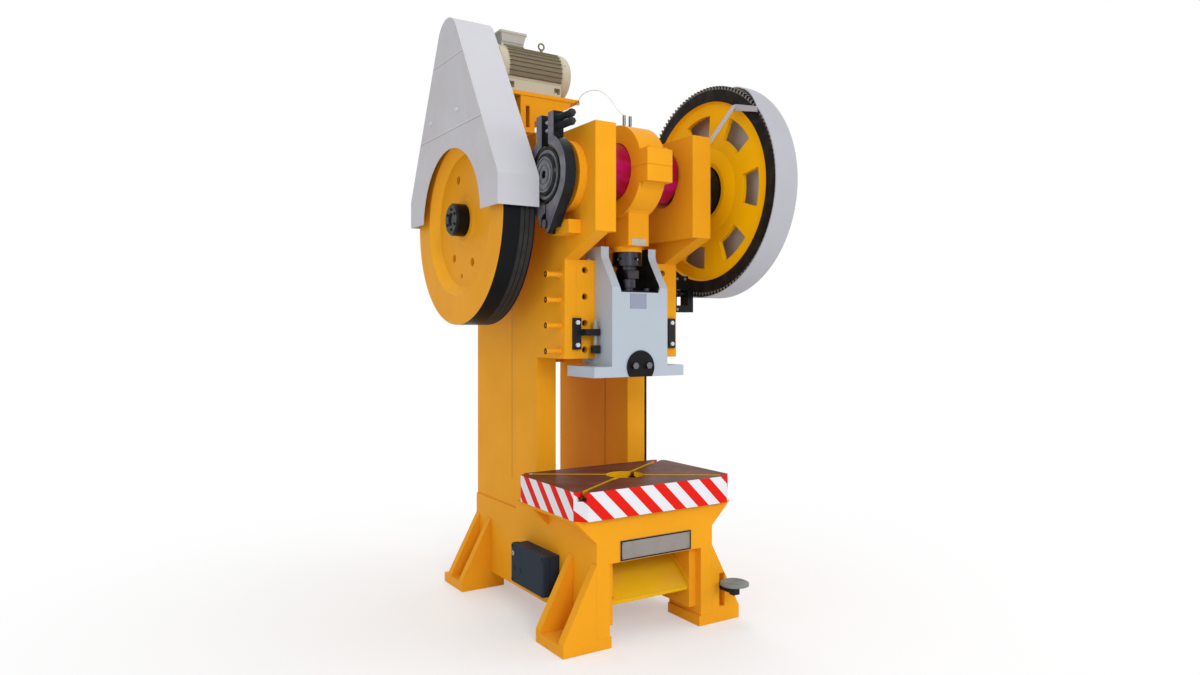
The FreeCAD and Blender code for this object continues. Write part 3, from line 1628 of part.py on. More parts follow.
def motor_body():
    """Finned frame with its two foot rails; the fins leave room for the terminal box."""
    barrel = rod_x(motor_y, motor_z, motor_r, motor_left, motor_body_right)
    fins = []
    for k in range(motor_fins):
        turn = -22.0 + 224.0 * k / (motor_fins - 1)
        if abs(turn - 90) < 28:
            continue
        fin = box(
            motor_left + 34, motor_body_right - 6,
            motor_y + motor_r - 10, motor_y + motor_r + motor_fin_height, motor_z - 1.5, motor_z + 1.5,
        )
        fin.rotate(V(0, motor_y, motor_z), V(1, 0, 0), turn)
        fins.append(fin)
    feet = [motor_foot(-1), motor_foot(1)]
    pad = box(
        terminal_left + 12, terminal_right - 12,
        motor_y - 50, motor_y + 50, terminal_bottom - 14, terminal_bottom,
    )
    shield = turned_x([
        (motor_left, 0),
        (motor_left, motor_r + 4),
        (motor_left - 10, motor_r + 4),
        (motor_left - 26, motor_r - 34),
        (motor_left - 26, 0),
    ], motor_y, motor_z)
    shape = join([barrel, pad, shield, eyebolt()] + feet + fins)
    bore = rod_x(motor_y, motor_z, motor_shaft_r + shaft_gap, motor_left - 30, motor_body_right + 1)
    rotor_space = rod_x(
        motor_y, motor_z, motor_r - 30,
        motor_left + bearing_wall, motor_body_right - bearing_wall,
    )
    return shape.cut([bore, rotor_space] + bolt_pockets())


def fan_cowl():
    """Pressed cowl with a rounded end and two rings of air holes."""
    r = fan_cowl_r
    wall = fan_cowl_wall
    bend = fan_cowl_round
    end = motor_end
    start = motor_body_right
    diagonal = bend * (1 - math.sqrt(0.5))
    axis = V(0, motor_y, motor_z)
    corners = [V(end - bend, 0, r), V(start, 0, r), V(start, 0, 0), V(end, 0, 0), V(end, 0, r - bend)]
    corners = [axis + point for point in corners]
    edges = [Part.LineSegment(a, b).toShape() for a, b in zip(corners, corners[1:])]
    rounding = Part.Arc(corners[-1], axis + V(end - diagonal, 0, r - diagonal), corners[0])
    outer = Part.Face(Part.Wire(edges + [rounding.toShape()])).revolve(axis, V(1, 0, 0), 360)
    cuts = [
        rod_x(motor_y, motor_z, r - wall, start - 1, end - bend),
        rod_x(motor_y, motor_z, r - bend, end - bend - 1, end - wall),
    ]
    for ring_r, count in ((28.0, 6), (62.0, 12)):
        for k in range(count):
            angle = 2 * math.pi * k / count
            y = motor_y + ring_r * math.cos(angle)
            z = motor_z + ring_r * math.sin(angle)
            cuts.append(rod_x(y, z, 8.0, end - wall - 1, end + 1))
    return outer.cut(cuts)


def flared(y0, y1, z0, z1, flare):
    """Block under the terminal lid whose four sides lean outwards towards the top."""
    faces = []
    for z, spread in ((z0, 0.0), (z1, flare)):
        x0 = terminal_left + 16 - spread
        x1 = terminal_right - 16 + spread
        ends = [
            V(x0, y0 - spread, z), V(x1, y0 - spread, z),
            V(x1, y1 + spread, z), V(x0, y1 + spread, z),
        ]
        faces.append(Part.makePolygon(ends + [ends[0]]))
    return Part.makeLoft(faces, True, True)


def terminal_box():
    """Cast box with leaning sides, an overhanging lid and two cable entries."""
    y0 = motor_y - terminal_width / 2
    y1 = motor_y + terminal_width / 2
    lid_bottom = terminal_top - lid_thick
    neck = flared(y0 + 22, y1 - 22, terminal_bottom, terminal_bottom + 14, 4)
    body = flared(y0 + 14, y1 - 14, terminal_bottom + 13, lid_bottom + 1, 10)
    lid = box(terminal_left, terminal_right, y0, y1, lid_bottom, terminal_top)
    lid = lid.makeFillet(10.0, [e for e in lid.Edges if abs(e.tangentAt(e.FirstParameter).z) > 0.9])
    middle = (terminal_left + terminal_right) / 2
    entry_z = (terminal_bottom + terminal_top) / 2
    entries = [rod_y(x, entry_z, 13.0, y1 - 14, y1 + 6) for x in (middle - 28, middle + 28)]
    return join([neck, body, lid] + entries)


def eyebolt():
    """Lifting eye on the frame between the terminal box and the fan cowl."""
    top = motor_z + motor_r
    x = motor_body_right - 65
    ring = Part.makeTorus(17.0, 4.5, V(x, motor_y, top + 40), V(0, 1, 0))
    stem = rod_z(x, motor_y, 8.0, top - 2, top + 22)
    return join([ring, stem])


def motor_rotor():
    """Shaft with the rotor core and the cooling fan."""
    left = hub_face + 25
    fan_right = motor_end - fan_cowl_round - 2
    fan_left = motor_body_right + 6
    shaft = rod_x(motor_y, motor_z, motor_shaft_r, left, fan_right)
    core = rod_x(
        motor_y, motor_z, motor_r - 34,
        motor_left + bearing_wall + 16, motor_body_right - bearing_wall - 16,
    )
    hub = rod_x(motor_y, motor_z, 34.0, fan_left - 3, fan_right)
    blades = []
    for k in range(6):
        blade = box(fan_left, fan_right - 1, motor_y + 30, motor_y + motor_r - 20, motor_z - 2, motor_z + 2)
        blade.rotate(V(0, motor_y, motor_z), V(1, 0, 0), 60 * k)
        blades.append(blade)
    return join([shaft, core, hub] + blades)


def motor_pulley():
    left = belt_first - 12
    right = belt_first + belt_count * belt_pitch - 2
    wheel = tube_x(motor_y, motor_z, pulley_r + 2, motor_shaft_r, left, right)
    cuts = []
    floor_r = pulley_r - belt_thick - soft_gap
    for k in range(belt_count):
        x = belt_first + k * belt_pitch
        cuts.append(tube_x(motor_y, motor_z, pulley_r + 8, floor_r, x, x + belt_groove))
    return wheel.cut(cuts)


# ---------------------------------------------------------------- electrics and plates
def control_box():
    """Box body on the left side frame and the deep rounded lid that closes it."""
    seat = -frame_half_width
    joint = seat - control_depth + control_lid
    back = control_front + control_length
    top = control_bottom + control_height
    lip = 6.0
    body = box(joint, seat, control_front + lip, back - lip, control_bottom + lip, top - lip)
    lid = box(joint - control_lid, joint, control_front, back, control_bottom, top)
    lid = lid.makeFillet(16.0, [e for e in lid.Edges if abs(e.tangentAt(e.FirstParameter).x) > 0.9])
    lid = lid.makeFillet(9.0, [e for e in lid.Edges if abs(e.CenterOfMass.x - joint + control_lid) < 0.01])
    return group([body, lid])


def name_plate():
    """Blank plate with a slightly raised border."""
    right = name_left + name_width
    top = name_bottom + name_height
    plate = box(name_left, right, bed_front - 4, bed_front, name_bottom, top)
    field = box(name_left + 8, right - 8, bed_front - 5, bed_front - 3, name_bottom + 8, top - 8)
    return plate.cut(field)


# ---------------------------------------------------------------- pedal and clutch trip
def pedal_rod_z():
    """Height of the lever's middle line where the pull rod hooks into it."""
    front = pedal_z - pedal_drop + pedal_bar_height / 2
    share = (pull_rod_y - pedal_y) / (pedal_pivot_y - pedal_y)
    return front + (pedal_pivot_z - front) * share


def link_slot(x0, x1, y, z):
    """Clearance slot for a cross pin of the linkage."""
    half = link_pin_r + link_slot_play
    return box(x0 - 1, x1 + 1, y - link_slot_half, y + link_slot_half, z - half, z + half)


def pedal_lever():
    """Flat bar lever from the pivot to the foot dish, passing through the foot's slot."""
    x0 = pedal_slot_x - pedal_bar_half
    x1 = pedal_slot_x + pedal_bar_half
    low = pedal_z - pedal_drop
    bar = plate_yz([
        (pedal_y - 16, low),
        (pedal_pivot_y, pedal_pivot_z - pedal_bar_height / 2),
        (pedal_pivot_y, pedal_pivot_z + pedal_bar_height / 2),
        (pedal_y - 16, low + pedal_bar_height),
    ], x0, x1)
    eye = rod_x(pedal_pivot_y, pedal_pivot_z, 26.0, x0, x1)
    post = box(x0 - 12, x1 + 12, pedal_y - 16, pedal_y + 16, low, pedal_z - pedal_dish_depth)
    pin = rod_x(pedal_pivot_y, pedal_pivot_z, pedal_pin_r + shaft_gap, x0 - 1, x1 + 1)
    return join([bar, eye, post]).cut([pin, link_slot(x0, x1, pull_rod_y, pedal_rod_z())])


def pedal_dish():
    """Round foot plate with a turned-down rim."""
    profile = [
        (0, -pedal_dish_depth),
        (30, -pedal_dish_depth),
        (pedal_dish_r, -7),
        (pedal_dish_r, 4),
        (pedal_dish_r - 8, 8),
        (0, 2),
    ]
    points = [V(pedal_slot_x + r, pedal_y, pedal_z + z) for r, z in profile]
    face = Part.Face(Part.makePolygon(points + [points[0]]))
    return face.revolve(V(pedal_slot_x, pedal_y, 0), V(0, 0, 1), 360)


def linkage_pivots():
    """Pivot bracket of the pedal lever and pivot pin of the rocker, on the right side frame."""
    seat = frame_half_width
    y = pedal_pivot_y
    z = pedal_pivot_z
    lever_left = pedal_slot_x - pedal_bar_half
    lever_right = pedal_slot_x + pedal_bar_half
    plate = box(seat, seat + 14, y - 50, y + 50, z - 50, z + 50)
    boss = rod_x(y, z, 24.0, seat + 13, lever_left - soft_gap)
    pin = rod_x(y, z, pedal_pin_r, seat + 13, lever_right + 14)
    washer = rod_x(y, z, 20.0, lever_right + soft_gap, lever_right + 6)
    pedal_side = join([plate, boss, pin, washer])
    rocker_right = rocker_left + rocker_thick
    pin = rod_x(rocker_pivot_y, rocker_z, rocker_pin_r, seat - 30, rocker_right + 12)
    spacer = rod_x(rocker_pivot_y, rocker_z, 18.0, seat, rocker_left - soft_gap)
    washer = rod_x(rocker_pivot_y, rocker_z, 18.0, rocker_right + soft_gap, rocker_right + 6)
    return group([pedal_side, join([pin, spacer, washer])])


def pull_rod():
    """Vertical rod; a cross pin at each end hooks into the pedal lever and the rocker."""
    low = pedal_rod_z()
    rod = rod_z(pull_rod_x, pull_rod_y, pull_rod_r, low - 24, rocker_z + 28)
    low_pin = rod_x(pull_rod_y, low, link_pin_r, pull_rod_x, pedal_slot_x + pedal_bar_half + 8)
    high_pin = rod_x(pull_rod_y, rocker_z, link_pin_r, pull_rod_x, rocker_left + rocker_thick + 8)
    return join([rod, low_pin, high_pin])


def trip_rocker():
    """Rocker that turns the rod's pull into a lift of the clutch plunger."""
    x0 = rocker_left
    x1 = rocker_left + rocker_thick
    half = rocker_height / 2
    bar = box(x0, x1, rocker_front_y - 17, pull_rod_y + 20, rocker_z - half, rocker_z + half)
    eye = rod_x(rocker_pivot_y, rocker_z, 28.0, x0, x1)
    return join([bar, eye]).cut([
        rod_x(rocker_pivot_y, rocker_z, rocker_pin_r + shaft_gap, x0 - 1, x1 + 1),
        link_slot(x0, x1, pull_rod_y, rocker_z),
        link_slot(x0, x1, rocker_front_y, rocker_z),
    ])


def trip_bracket():
    """Black bracket on the right side frame with the guide block of the clutch plunger."""
    x0 = frame_half_width
    x1 = plunger_x + trip_guide_half
    inner = plunger_x - trip_guide_half
    block_back = rocker_front_y - 21
    back_plate = box(x0, x0 + 12, trip_front, trip_back, trip_bottom, trip_top)
    sill = box(x0, x1, trip_front, trip_back, trip_bottom, trip_sill_top)
    block = box(x0, inner, trip_front, block_back, trip_block_bottom, trip_top)
    guide = box(inner - 1, x1, trip_front, trip_back, trip_bottom, trip_guide_top)
    hole = rod_z(plunger_x, rocker_front_y, plunger_r + shaft_gap, trip_bottom - 1, trip_top)
    window = box(
        inner - 2, plunger_x, rocker_front_y - link_slot_half, rocker_front_y + link_slot_half,
        rocker_z - link_slot_half, rocker_z + 3 * link_slot_half,
    )
    return join([back_plate, sill, block, guide]).cut([hole, window])


def trip_plunger():
    """Round plunger lifted by the rocker through a cross pin."""
    rod = rod_z(plunger_x, rocker_front_y, plunger_r, trip_bottom + 4, plunger_top)
    pin = rod_x(rocker_front_y, rocker_z, link_pin_r, rocker_left - 4, plunger_x)
    return join([rod, pin])


# ---------------------------------------------------------------- oil line
def oil_fitting():
    """Brass elbow on the front edge of the motor plate, turned forward and up to the hose."""
    start = V(*hose_points[0])
    outward = (V(*hose_points[1]) - start).normalize()
    outlet = Part.makeCylinder(hose_r + 2, 12, start - outward * 12, outward)
    root = start - outward * 12
    nut = hexagon(root - outward * 3, tuple(outward), 16.0, 9.0)
    block = box(root.x - 9, root.x + 9, root.y - 6, motor_plate_front, root.z - 14, root.z + 4)
    return join([outlet, nut, block])


def tube_route(points, r, name):
    """Straight runs joined by tangent arcs, swept with a circle."""
    nodes = [V(*p) for p in points]
    edges = []
    start = nodes[0]
    radii = []
    for before, corner, after in zip(nodes, nodes[1:], nodes[2:]):
        back = (before - corner)
        ahead = (after - corner)
        shorter = min(back.Length, ahead.Length)
        back.normalize()
        ahead.normalize()
        turn = math.pi - back.getAngle(ahead)
        cut = 0.45 * shorter
        radius = cut / math.tan(turn / 2)
        radii.append(radius)
        enter = corner + back * cut
        leave = corner + ahead * cut
        bisector = (back + ahead).normalize()
        middle = corner + bisector * (radius / math.cos(turn / 2) - radius)
        edges.append(Part.LineSegment(start, enter).toShape())
        edges.append(Part.Arc(enter, middle, leave).toShape())
        start = leave
    edges.append(Part.LineSegment(start, nodes[-1]).toShape())
    path = Part.Wire(edges)
    print(name, "length %.1f, radii" % path.Length, " ".join("%.0f" % value for value in radii))
    circle = Part.Wire(Part.Circle(nodes[0], nodes[1] - nodes[0], r).toShape())
    tube = path.makePipeShell([circle], True, False)
    print(name, "volume over section times length %.4f" % (tube.Volume / (math.pi * r * r * path.Length)))
    return tube


# ---------------------------------------------------------------- write the sub-parts
def main():
    os.makedirs("parts", exist_ok=True)
    save("side_plate_left", side_frame(False))
    save("side_plate_right", side_frame(True))
    save("front_panel", front_panel())
    save("bed_plate", bed_plate())
    save("frame_ties", frame_ties())
    save("feet", feet())
    save("scrap_chute", scrap_chute())
    save("bolster_plate", bolster_plate())
    save("gibs", gibs())
    save("gib_screws", gib_screws())
    save("gib_adjusters", gib_adjusters())
    save("knockout_brackets", knockout_brackets())
    save("knockout_stop", knockout_stop())
    save("frame_bolts", frame_bolts())
    save("slide_body", slide_body())
    save("shank_clamp", shank_clamp())
    save("slide_screws", slide_screws())
    save("ball_seat", ball_seat())
    save("ball_retainer", ball_retainer())
    save("pitman_body", pitman_body())
    save("pitman_cap", pitman_cap())
    save("pitman_bush", pitman_bush())
    save("pitman_bolts", pitman_bolts())
    save("adjusting_screw", adjusting_screw())
    save("screw_nut", screw_nut())
    save("oil_cups", oil_cups())
    save("crankshaft", crankshaft())
    save("shaft_bushes", shaft_bushes())
    save("brake_drum", brake_drum())
    save("brake_linings", brake_linings())
    save("brake_shoe_front", brake_shoe(True))
    save("brake_shoe_rear", brake_shoe(False))
    save("brake_pin", brake_pin())
    save("brake_studs", brake_studs())
    save("brake_springs", group([brake_spring(stud_z_high), brake_spring(stud_z_low)]))
    save("clutch_disc", clutch_disc())
    save("flywheel", flywheel())
    save("flywheel_cap", flywheel_cap())
    save("countershaft", countershaft())
    save("bull_gear", bull_gear())
    save("drive_belts", drive_belts())
    save("gear_guard", gear_guard())
    save("belt_guard", belt_guard())
    save("motor_bracket", motor_bracket())
    save("motor_body", motor_body())
    save("fan_cowl", fan_cowl())
    save("terminal_box", terminal_box())
    save("motor_rotor", motor_rotor())
    save("motor_pulley", motor_pulley())
    save("control_box", control_box())
    save("name_plate", name_plate())
    save("pedal_lever", pedal_lever())
    save("pedal_dish", pedal_dish())
    save("linkage_pivots", linkage_pivots())
    save("pull_rod", pull_rod())
    save("trip_rocker", trip_rocker())
    save("trip_bracket", trip_bracket())
    save("trip_plunger", trip_plunger())
    save("oil_fitting", oil_fitting())
    save("oil_hose", tube_route(hose_points, hose_r, "oil_hose"))


main()
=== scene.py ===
import json
import math

import bmesh
import bpy
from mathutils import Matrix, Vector


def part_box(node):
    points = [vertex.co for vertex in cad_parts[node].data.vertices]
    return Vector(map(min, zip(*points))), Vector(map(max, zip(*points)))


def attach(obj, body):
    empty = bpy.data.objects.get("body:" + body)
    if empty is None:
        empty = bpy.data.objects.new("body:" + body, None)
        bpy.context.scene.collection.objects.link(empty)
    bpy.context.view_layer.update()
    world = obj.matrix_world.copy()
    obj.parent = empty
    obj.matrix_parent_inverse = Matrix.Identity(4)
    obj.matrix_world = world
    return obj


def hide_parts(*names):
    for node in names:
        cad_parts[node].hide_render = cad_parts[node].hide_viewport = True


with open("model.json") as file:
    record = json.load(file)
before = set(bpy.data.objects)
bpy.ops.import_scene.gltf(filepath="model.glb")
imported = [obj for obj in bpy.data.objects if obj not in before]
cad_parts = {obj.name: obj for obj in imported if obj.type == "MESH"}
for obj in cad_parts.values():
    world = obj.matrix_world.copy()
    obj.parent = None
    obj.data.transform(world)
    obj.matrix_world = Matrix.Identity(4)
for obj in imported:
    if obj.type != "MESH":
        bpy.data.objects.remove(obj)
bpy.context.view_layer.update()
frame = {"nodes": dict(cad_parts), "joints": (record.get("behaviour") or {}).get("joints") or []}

nodes = frame["nodes"]

# ------------------------------------------------------------------ places from the frame, in metres
pivots = {joint["name"]: Vector(joint["pos_m"]) for joint in frame["joints"] if "pos_m" in joint}
CRANK = pivots["crank_turn"]
WHEEL = pivots["flywheel_spin"]
bolster_low, bolster_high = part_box("bolster_plate")
BOLSTER_Y = (bolster_low.y + bolster_high.y) / 2
BOLSTER_TOP = bolster_high.z
BOLSTER_HALF_X = bolster_high.x
BOLSTER_HALF_Y = bolster_high.y - BOLSTER_Y

FRONT = Vector((0, -1, 0))
LEFT = Vector((-1, 0, 0))
RIGHT = Vector((1, 0, 0))
UP = Vector((0, 0, 1))


# ------------------------------------------------------------------ colours
def tone(red, green, blue):
    """Linear colour from screen values of 0 to 255."""
    def linear(value):
        value /= 255.0
        return value / 12.92 if value <= 0.04045 else ((value + 0.055) / 1.055) ** 2.4
    return (linear(red), linear(green), linear(blue), 1.0)


# paints
ORANGE = tone(240, 165, 33)
# yellower orange of the gear, also made lighter as painted light against the shadow of its guard
GEAR_ORANGE_LIGHTENED = tone(254, 190, 8)
# lighter orange on the flywheel's cone as painted light
CONE_PAINTED_LIGHT = tone(255, 186, 52)
YELLOW = tone(230, 178, 20)
PALE = tone(179, 190, 202)
# painted shade of a shallow step across the slide's front
PALE_STEP_SHADE = tone(90, 96, 104)
GUARD = tone(202, 203, 210)
# the belt guard's outer side: smudges and painted shade
GUARD_SMUDGE_AND_SHADE = tone(196, 190, 190)
GUARD_LAP = tone(128, 122, 126)
# painted highlight along the lip of each lap joint
GUARD_LIP_HIGHLIGHT = tone(232, 230, 234)
GUARD_WELD = tone(120, 118, 120)
PAN_BAND = tone(178, 179, 187)
# lighter grey on the gear pan's back sheet as painted light
PAN_INSIDE_LIT = tone(226, 220, 216)
MOTOR_TAN = tone(198, 191, 170)
# painted shade on the motor's ribs
MOTOR_RIBS_SHADE = tone(134, 124, 104)
TERMINAL_GREY = tone(186, 183, 176)
BOLT_GREY = tone(214, 214, 220)
BOLSTER_BROWN = tone(100, 50, 38)
BOLSTER_SCUFF = tone(116, 78, 66)
# painted shade on the walls and floors of the bolster's slots
SLOT_SHADE = tone(104, 64, 34)
SLOT_FLOOR_SHADE = tone(58, 40, 30)
STRIPE_RED = tone(226, 34, 24)
STRIPE_WHITE = tone(228, 229, 236)
CRIMSON = tone(148, 6, 42)
# painted magenta highlight on the red lacquer
CRIMSON_HIGHLIGHT = tone(206, 22, 128)
SLATE = tone(42, 53, 66)
DISH_GREY = tone(130, 134, 132)
LILAC = tone(148, 154, 176)
# seam lines on the plates, partly painted shade of a step
SEAM_SHADE_BROWN = tone(120, 62, 8)
DARK_END = tone(52, 34, 26)

# black enamel, oil and grease, and painted shade and highlight on black parts
BLACK = tone(30, 32, 36)
BRAKE_BLACK = tone(24, 27, 32)
OILED_BLACK = tone(19, 19, 21)
# painted shade for the drum's grooves and centre
DRUM_GROOVE_SHADE = tone(20, 21, 24)
WHEEL_RIM = tone(26, 28, 31)
TOOTH_BLACK = tone(30, 30, 31)
TOOTH_OIL = tone(62, 57, 52)
# painted highlight on the teeth's sides and tips
TOOTH_HIGHLIGHT = tone(158, 156, 152)
# painted shade in the hub's mouth
HUB_MOUTH_SHADE = tone(48, 42, 38)
# the slide's pocket: partly greasy black, partly painted shade
POCKET_BLACK = tone(24, 24, 26)
POCKET_GREASE = tone(48, 47, 46)

# metals, lining, rubber and hose
STEEL = tone(168, 168, 170)
CUP_STEEL = tone(112, 113, 116)
DARK_STEEL = tone(60, 60, 66)
JOURNAL_STEEL = tone(120, 116, 112)
PINION_STEEL = tone(62, 58, 54)
STUD_STEEL = tone(176, 176, 178)
STOP_STEEL = tone(150, 150, 152)
# greys of painted reflection on the brake shoes' flat sides
SHOE_REFLECTION_GREY = (tone(98, 96, 104), tone(126, 124, 132))
DRUM_GREY = (tone(100, 103, 108), tone(132, 135, 140))
TAG_METAL = tone(190, 184, 178)
PLATE_METAL = tone(150, 143, 139)
BRONZE = tone(168, 128, 70)
BRASS = tone(196, 158, 84)
LINING = tone(110, 92, 70)
RUBBER = tone(30, 30, 30)
CLEAR_HOSE = tone(250, 250, 249)

# linear colours that paint and metal take on in use
GRIME = (0.70, 0.62, 0.52, 1.0)
SPECK = (0.22, 0.18, 0.14, 1.0)
DUST = (0.52, 0.48, 0.42, 1.0)
STAIN = (0.16, 0.13, 0.10, 1.0)
RUBBED = (0.10, 0.11, 0.13, 1.0)


def shade(colour, factor):
    return tuple(channel * factor for channel in colour[:3]) + (1.0,)


# ------------------------------------------------------------------ shader graphs
class Graph:
    """The node tree of a material or world, with short calls to build it."""

    def __init__(self, owner):
        owner.use_nodes = True
        self.owner = owner
        self.tree = owner.node_tree

    def node(self, kind, **settings):
        made = self.tree.nodes.new(kind)
        for key, value in settings.items():
            setattr(made, key, value)
        return made

    def feed(self, socket, value):
        if isinstance(value, bpy.types.NodeSocket):
            self.tree.links.new(value, socket)
        else:
            socket.default_value = value

    def math(self, operation, a, b=0.0):
        made = self.node("ShaderNodeMath", operation=operation)
        self.feed(made.inputs[0], a)
        self.feed(made.inputs[1], b)
        return made.outputs[0]

    def chain(self, operation, first, others):
        for other in others:
            first = self.math(operation, first, other)
        return first

    def times(self, first, *others):
        return self.chain("MULTIPLY", first, others)

    def plus(self, first, *others):
        return self.chain("ADD", first, others)

    def either(self, first, *others):
        return self.chain("MAXIMUM", first, others)

    def minus(self, a, b):
        return self.math("SUBTRACT", a, b)

    def ratio(self, a, b):
        return self.math("DIVIDE", a, b)

    def less(self, value, limit):
        return self.math("LESS_THAN", value, limit)

    def more(self, value, limit):
        return self.math("GREATER_THAN", value, limit)

    def size(self, value):
        return self.math("ABSOLUTE", value)

    def length(self, a, b):
        return self.math("SQRT", self.plus(self.times(a, a), self.times(b, b)))

    def step(self, value, low, high, to_low=0.0, to_high=1.0):
        made = self.node("ShaderNodeMapRange", interpolation_type="SMOOTHSTEP")
        for socket, number in zip(made.inputs, (value, low, high, to_low, to_high)):
            self.feed(socket, number)
        return made.outputs[0]

    def past(self, value, limit, soft=0.0005):
        """0 before a limit and 1 past it, blended over a short distance."""
        return self.step(value, limit - soft, limit + soft)

    def band(self, value, low, high, soft=0.0004):
        """1 between two limits, with edges that blend over a short distance."""
        return self.times(self.past(value, low, soft), self.step(value, high - soft, high + soft, 1.0, 0.0))

    def blend(self, share, first, second, output):
        """Mix of the shaders of two nodes, led to the output node of that name."""
        made = self.node("ShaderNodeMixShader")
        for socket, value in zip(made.inputs, (share, first.outputs[0], second.outputs[0])):
            self.feed(socket, value)
        self.feed(self.tree.nodes[output].inputs["Surface"], made.outputs[0])


class Surface(Graph):
    """A material's node tree round its principled shader."""

    def __init__(self, name):
        super().__init__(bpy.data.materials.new(name))
        self.bsdf = self.tree.nodes["Principled BSDF"]
        self.coords = self.node("ShaderNodeTexCoord")

    def set(self, **values):
        for key, value in values.items():
            self.feed(self.bsdf.inputs[key.replace("_", " ")], value)

    def split(self, name):
        made = self.node("ShaderNodeSeparateXYZ")
        self.feed(made.inputs[0], self.coords.outputs[name])
        return made.outputs

    def place(self):
        """Rest position of the shaded point, in the row frame."""
        return self.split("Object")

    def facing(self):
        """Rest direction of the surface, in the row frame."""
        return self.split("Normal")

    def flank(self, low=0.6, high=0.9):
        """1 on faces that look along X, to either side."""
        return self.step(self.size(self.facing()[0]), low, high)

    def radius(self, centre):
        """Distance from an axis along X through centre."""
        place = self.place()
        return self.length(self.minus(place[1], centre.y), self.minus(place[2], centre.z))

    def noise(self, scale, detail, stretch=None):
        vector = self.coords.outputs["Object"]
        if stretch:
            mapping = self.node("ShaderNodeMapping")
            self.feed(mapping.inputs["Vector"], vector)
            mapping.inputs["Scale"].default_value = stretch
            vector = mapping.outputs[0]
        made = self.node("ShaderNodeTexNoise")
        self.feed(made.inputs["Vector"], vector)
        made.inputs["Scale"].default_value = scale
        made.inputs["Detail"].default_value = detail
        made.inputs["Roughness"].default_value = 0.55
        return made.outputs[0]

    def patches(self, scale, detail, low, high):
        """Soft patches from 0 to 1, where the noise is between two levels."""
        return self.step(self.noise(scale, detail), low, high)

    def mix(self, share, a, b):
        made = self.node("ShaderNodeMix", data_type="RGBA")
        self.feed(made.inputs[0], share)
        self.feed(made.inputs[6], a)
        self.feed(made.inputs[7], b)
        return made.outputs[2]

    def darken(self, share, colour, by):
        made = self.node("ShaderNodeMix", data_type="RGBA", blend_type="MULTIPLY")
        self.feed(made.inputs[0], share)
        self.feed(made.inputs[6], colour)
        self.feed(made.inputs[7], by)
        return made.outputs[2]

    def bump(self, height, distance, strength, normal=None):
        made = self.node("ShaderNodeBump")
        made.inputs["Strength"].default_value = strength
        made.inputs["Distance"].default_value = distance
        self.feed(made.inputs["Height"], height)
        if normal:
            self.feed(made.inputs["Normal"], normal)
        return made.outputs[0]

    def rounded(self, radius):
        """Normal that softens sharp edges, as paint and broken edges do."""
        made = self.node("ShaderNodeBevel", samples=4)
        made.inputs["Radius"].default_value = radius
        return made.outputs[0]


def painted(name, colour, rough=0.34, peel=0.00025, edge=0.003, region=None, grime=0.10, gloss=0.04,
            sheen=(1.0, 1.0, 1.0, 1.0)):
    """Sprayed paint on castings and plate: slow colour drift, specks, dusty flats and orange peel."""
    g = Surface(name)
    base = region(g, colour) if region else colour
    drift = g.patches(3.1, 4.0, 0.30, 0.72)
    darker = g.darken(g.times(drift, grime * 1.6), base, GRIME)
    speck = g.patches(46.0, 5.0, 0.66, 0.80)
    specked = g.mix(g.times(speck, 0.04), darker, SPECK)
    level = g.step(g.facing()[2], 0.4, 0.95)
    settled = g.step(g.noise(9.0, 5.0), 0.35, 0.75, 0.01, 0.07)
    dusty = g.mix(g.times(level, settled), specked, DUST)
    uneven = g.plus(rough, g.times(drift, 0.10))
    slow = g.bump(g.noise(14.0, 2.0), 0.0012, 0.5, g.rounded(edge))
    fine = g.bump(g.noise(620.0, 2.0), peel, 0.5, slow)
    g.set(Base_Color=dusty, Roughness=uneven, Normal=fine, Specular_IOR_Level=gloss, Specular_Tint=sheen)
    return g.owner


def metal(name, colour, rough=0.32, stretch=None, metallic=1.0, region=None):
    """Machined or rolled metal with fine tool marks and faint stains."""
    g = Surface(name)
    base = region(g, colour) if region else colour
    stain = g.patches(12.0, 5.0, 0.42, 0.80)
    lines = g.noise(260.0, 3.0, stretch)
    tint = g.mix(g.times(stain, 0.28), base, STAIN)
    uneven = g.plus(g.step(lines, 0.3, 0.7, rough - 0.06, rough + 0.08), g.times(stain, 0.12))
    marks = g.bump(lines, 0.00008, 0.6, g.rounded(0.001))
    g.set(Base_Color=tint, Metallic=metallic, Roughness=uneven, Normal=marks)
    return g.owner


def blacked(name, colour=BLACK, rough=0.36, region=None, gloss=0.16, worn=0.22):
    """Black-enamelled cast iron and oiled steel: sandy skin, rubbed in places."""
    g = Surface(name)
    base = region(g, colour) if region else colour
    grain = g.noise(330.0, 4.0)
    rubbed = g.patches(26.0, 6.0, 0.60, 0.78)
    tint = g.mix(g.times(rubbed, worn), base, RUBBED)
    slow = g.bump(g.noise(24.0, 2.0), 0.0010, 0.5, g.rounded(0.002))
    sandy = g.bump(grain, 0.00012, 0.5, slow)
    uneven = g.step(grain, 0.3, 0.7, rough - 0.06, rough + 0.08)
    g.set(Base_Color=tint, Roughness=uneven, Normal=sandy, Specular_IOR_Level=gloss)
    return g.owner


def moulded(name, colour, rough, cover=1.0):
    """Rubber, lining and hose: fine stipple and a slow change of shade."""
    g = Surface(name)
    drift = g.patches(20.0, 4.0, 0.35, 0.7)
    tint = g.mix(g.times(drift, 0.3), colour, shade(colour, 0.55))
    stipple = g.bump(g.noise(900.0, 2.0), 0.00008, 0.5)
    g.set(Base_Color=tint, Roughness=g.step(drift, 0, 1, rough, rough + 0.12), Normal=stipple, Alpha=cover)
    return g.owner


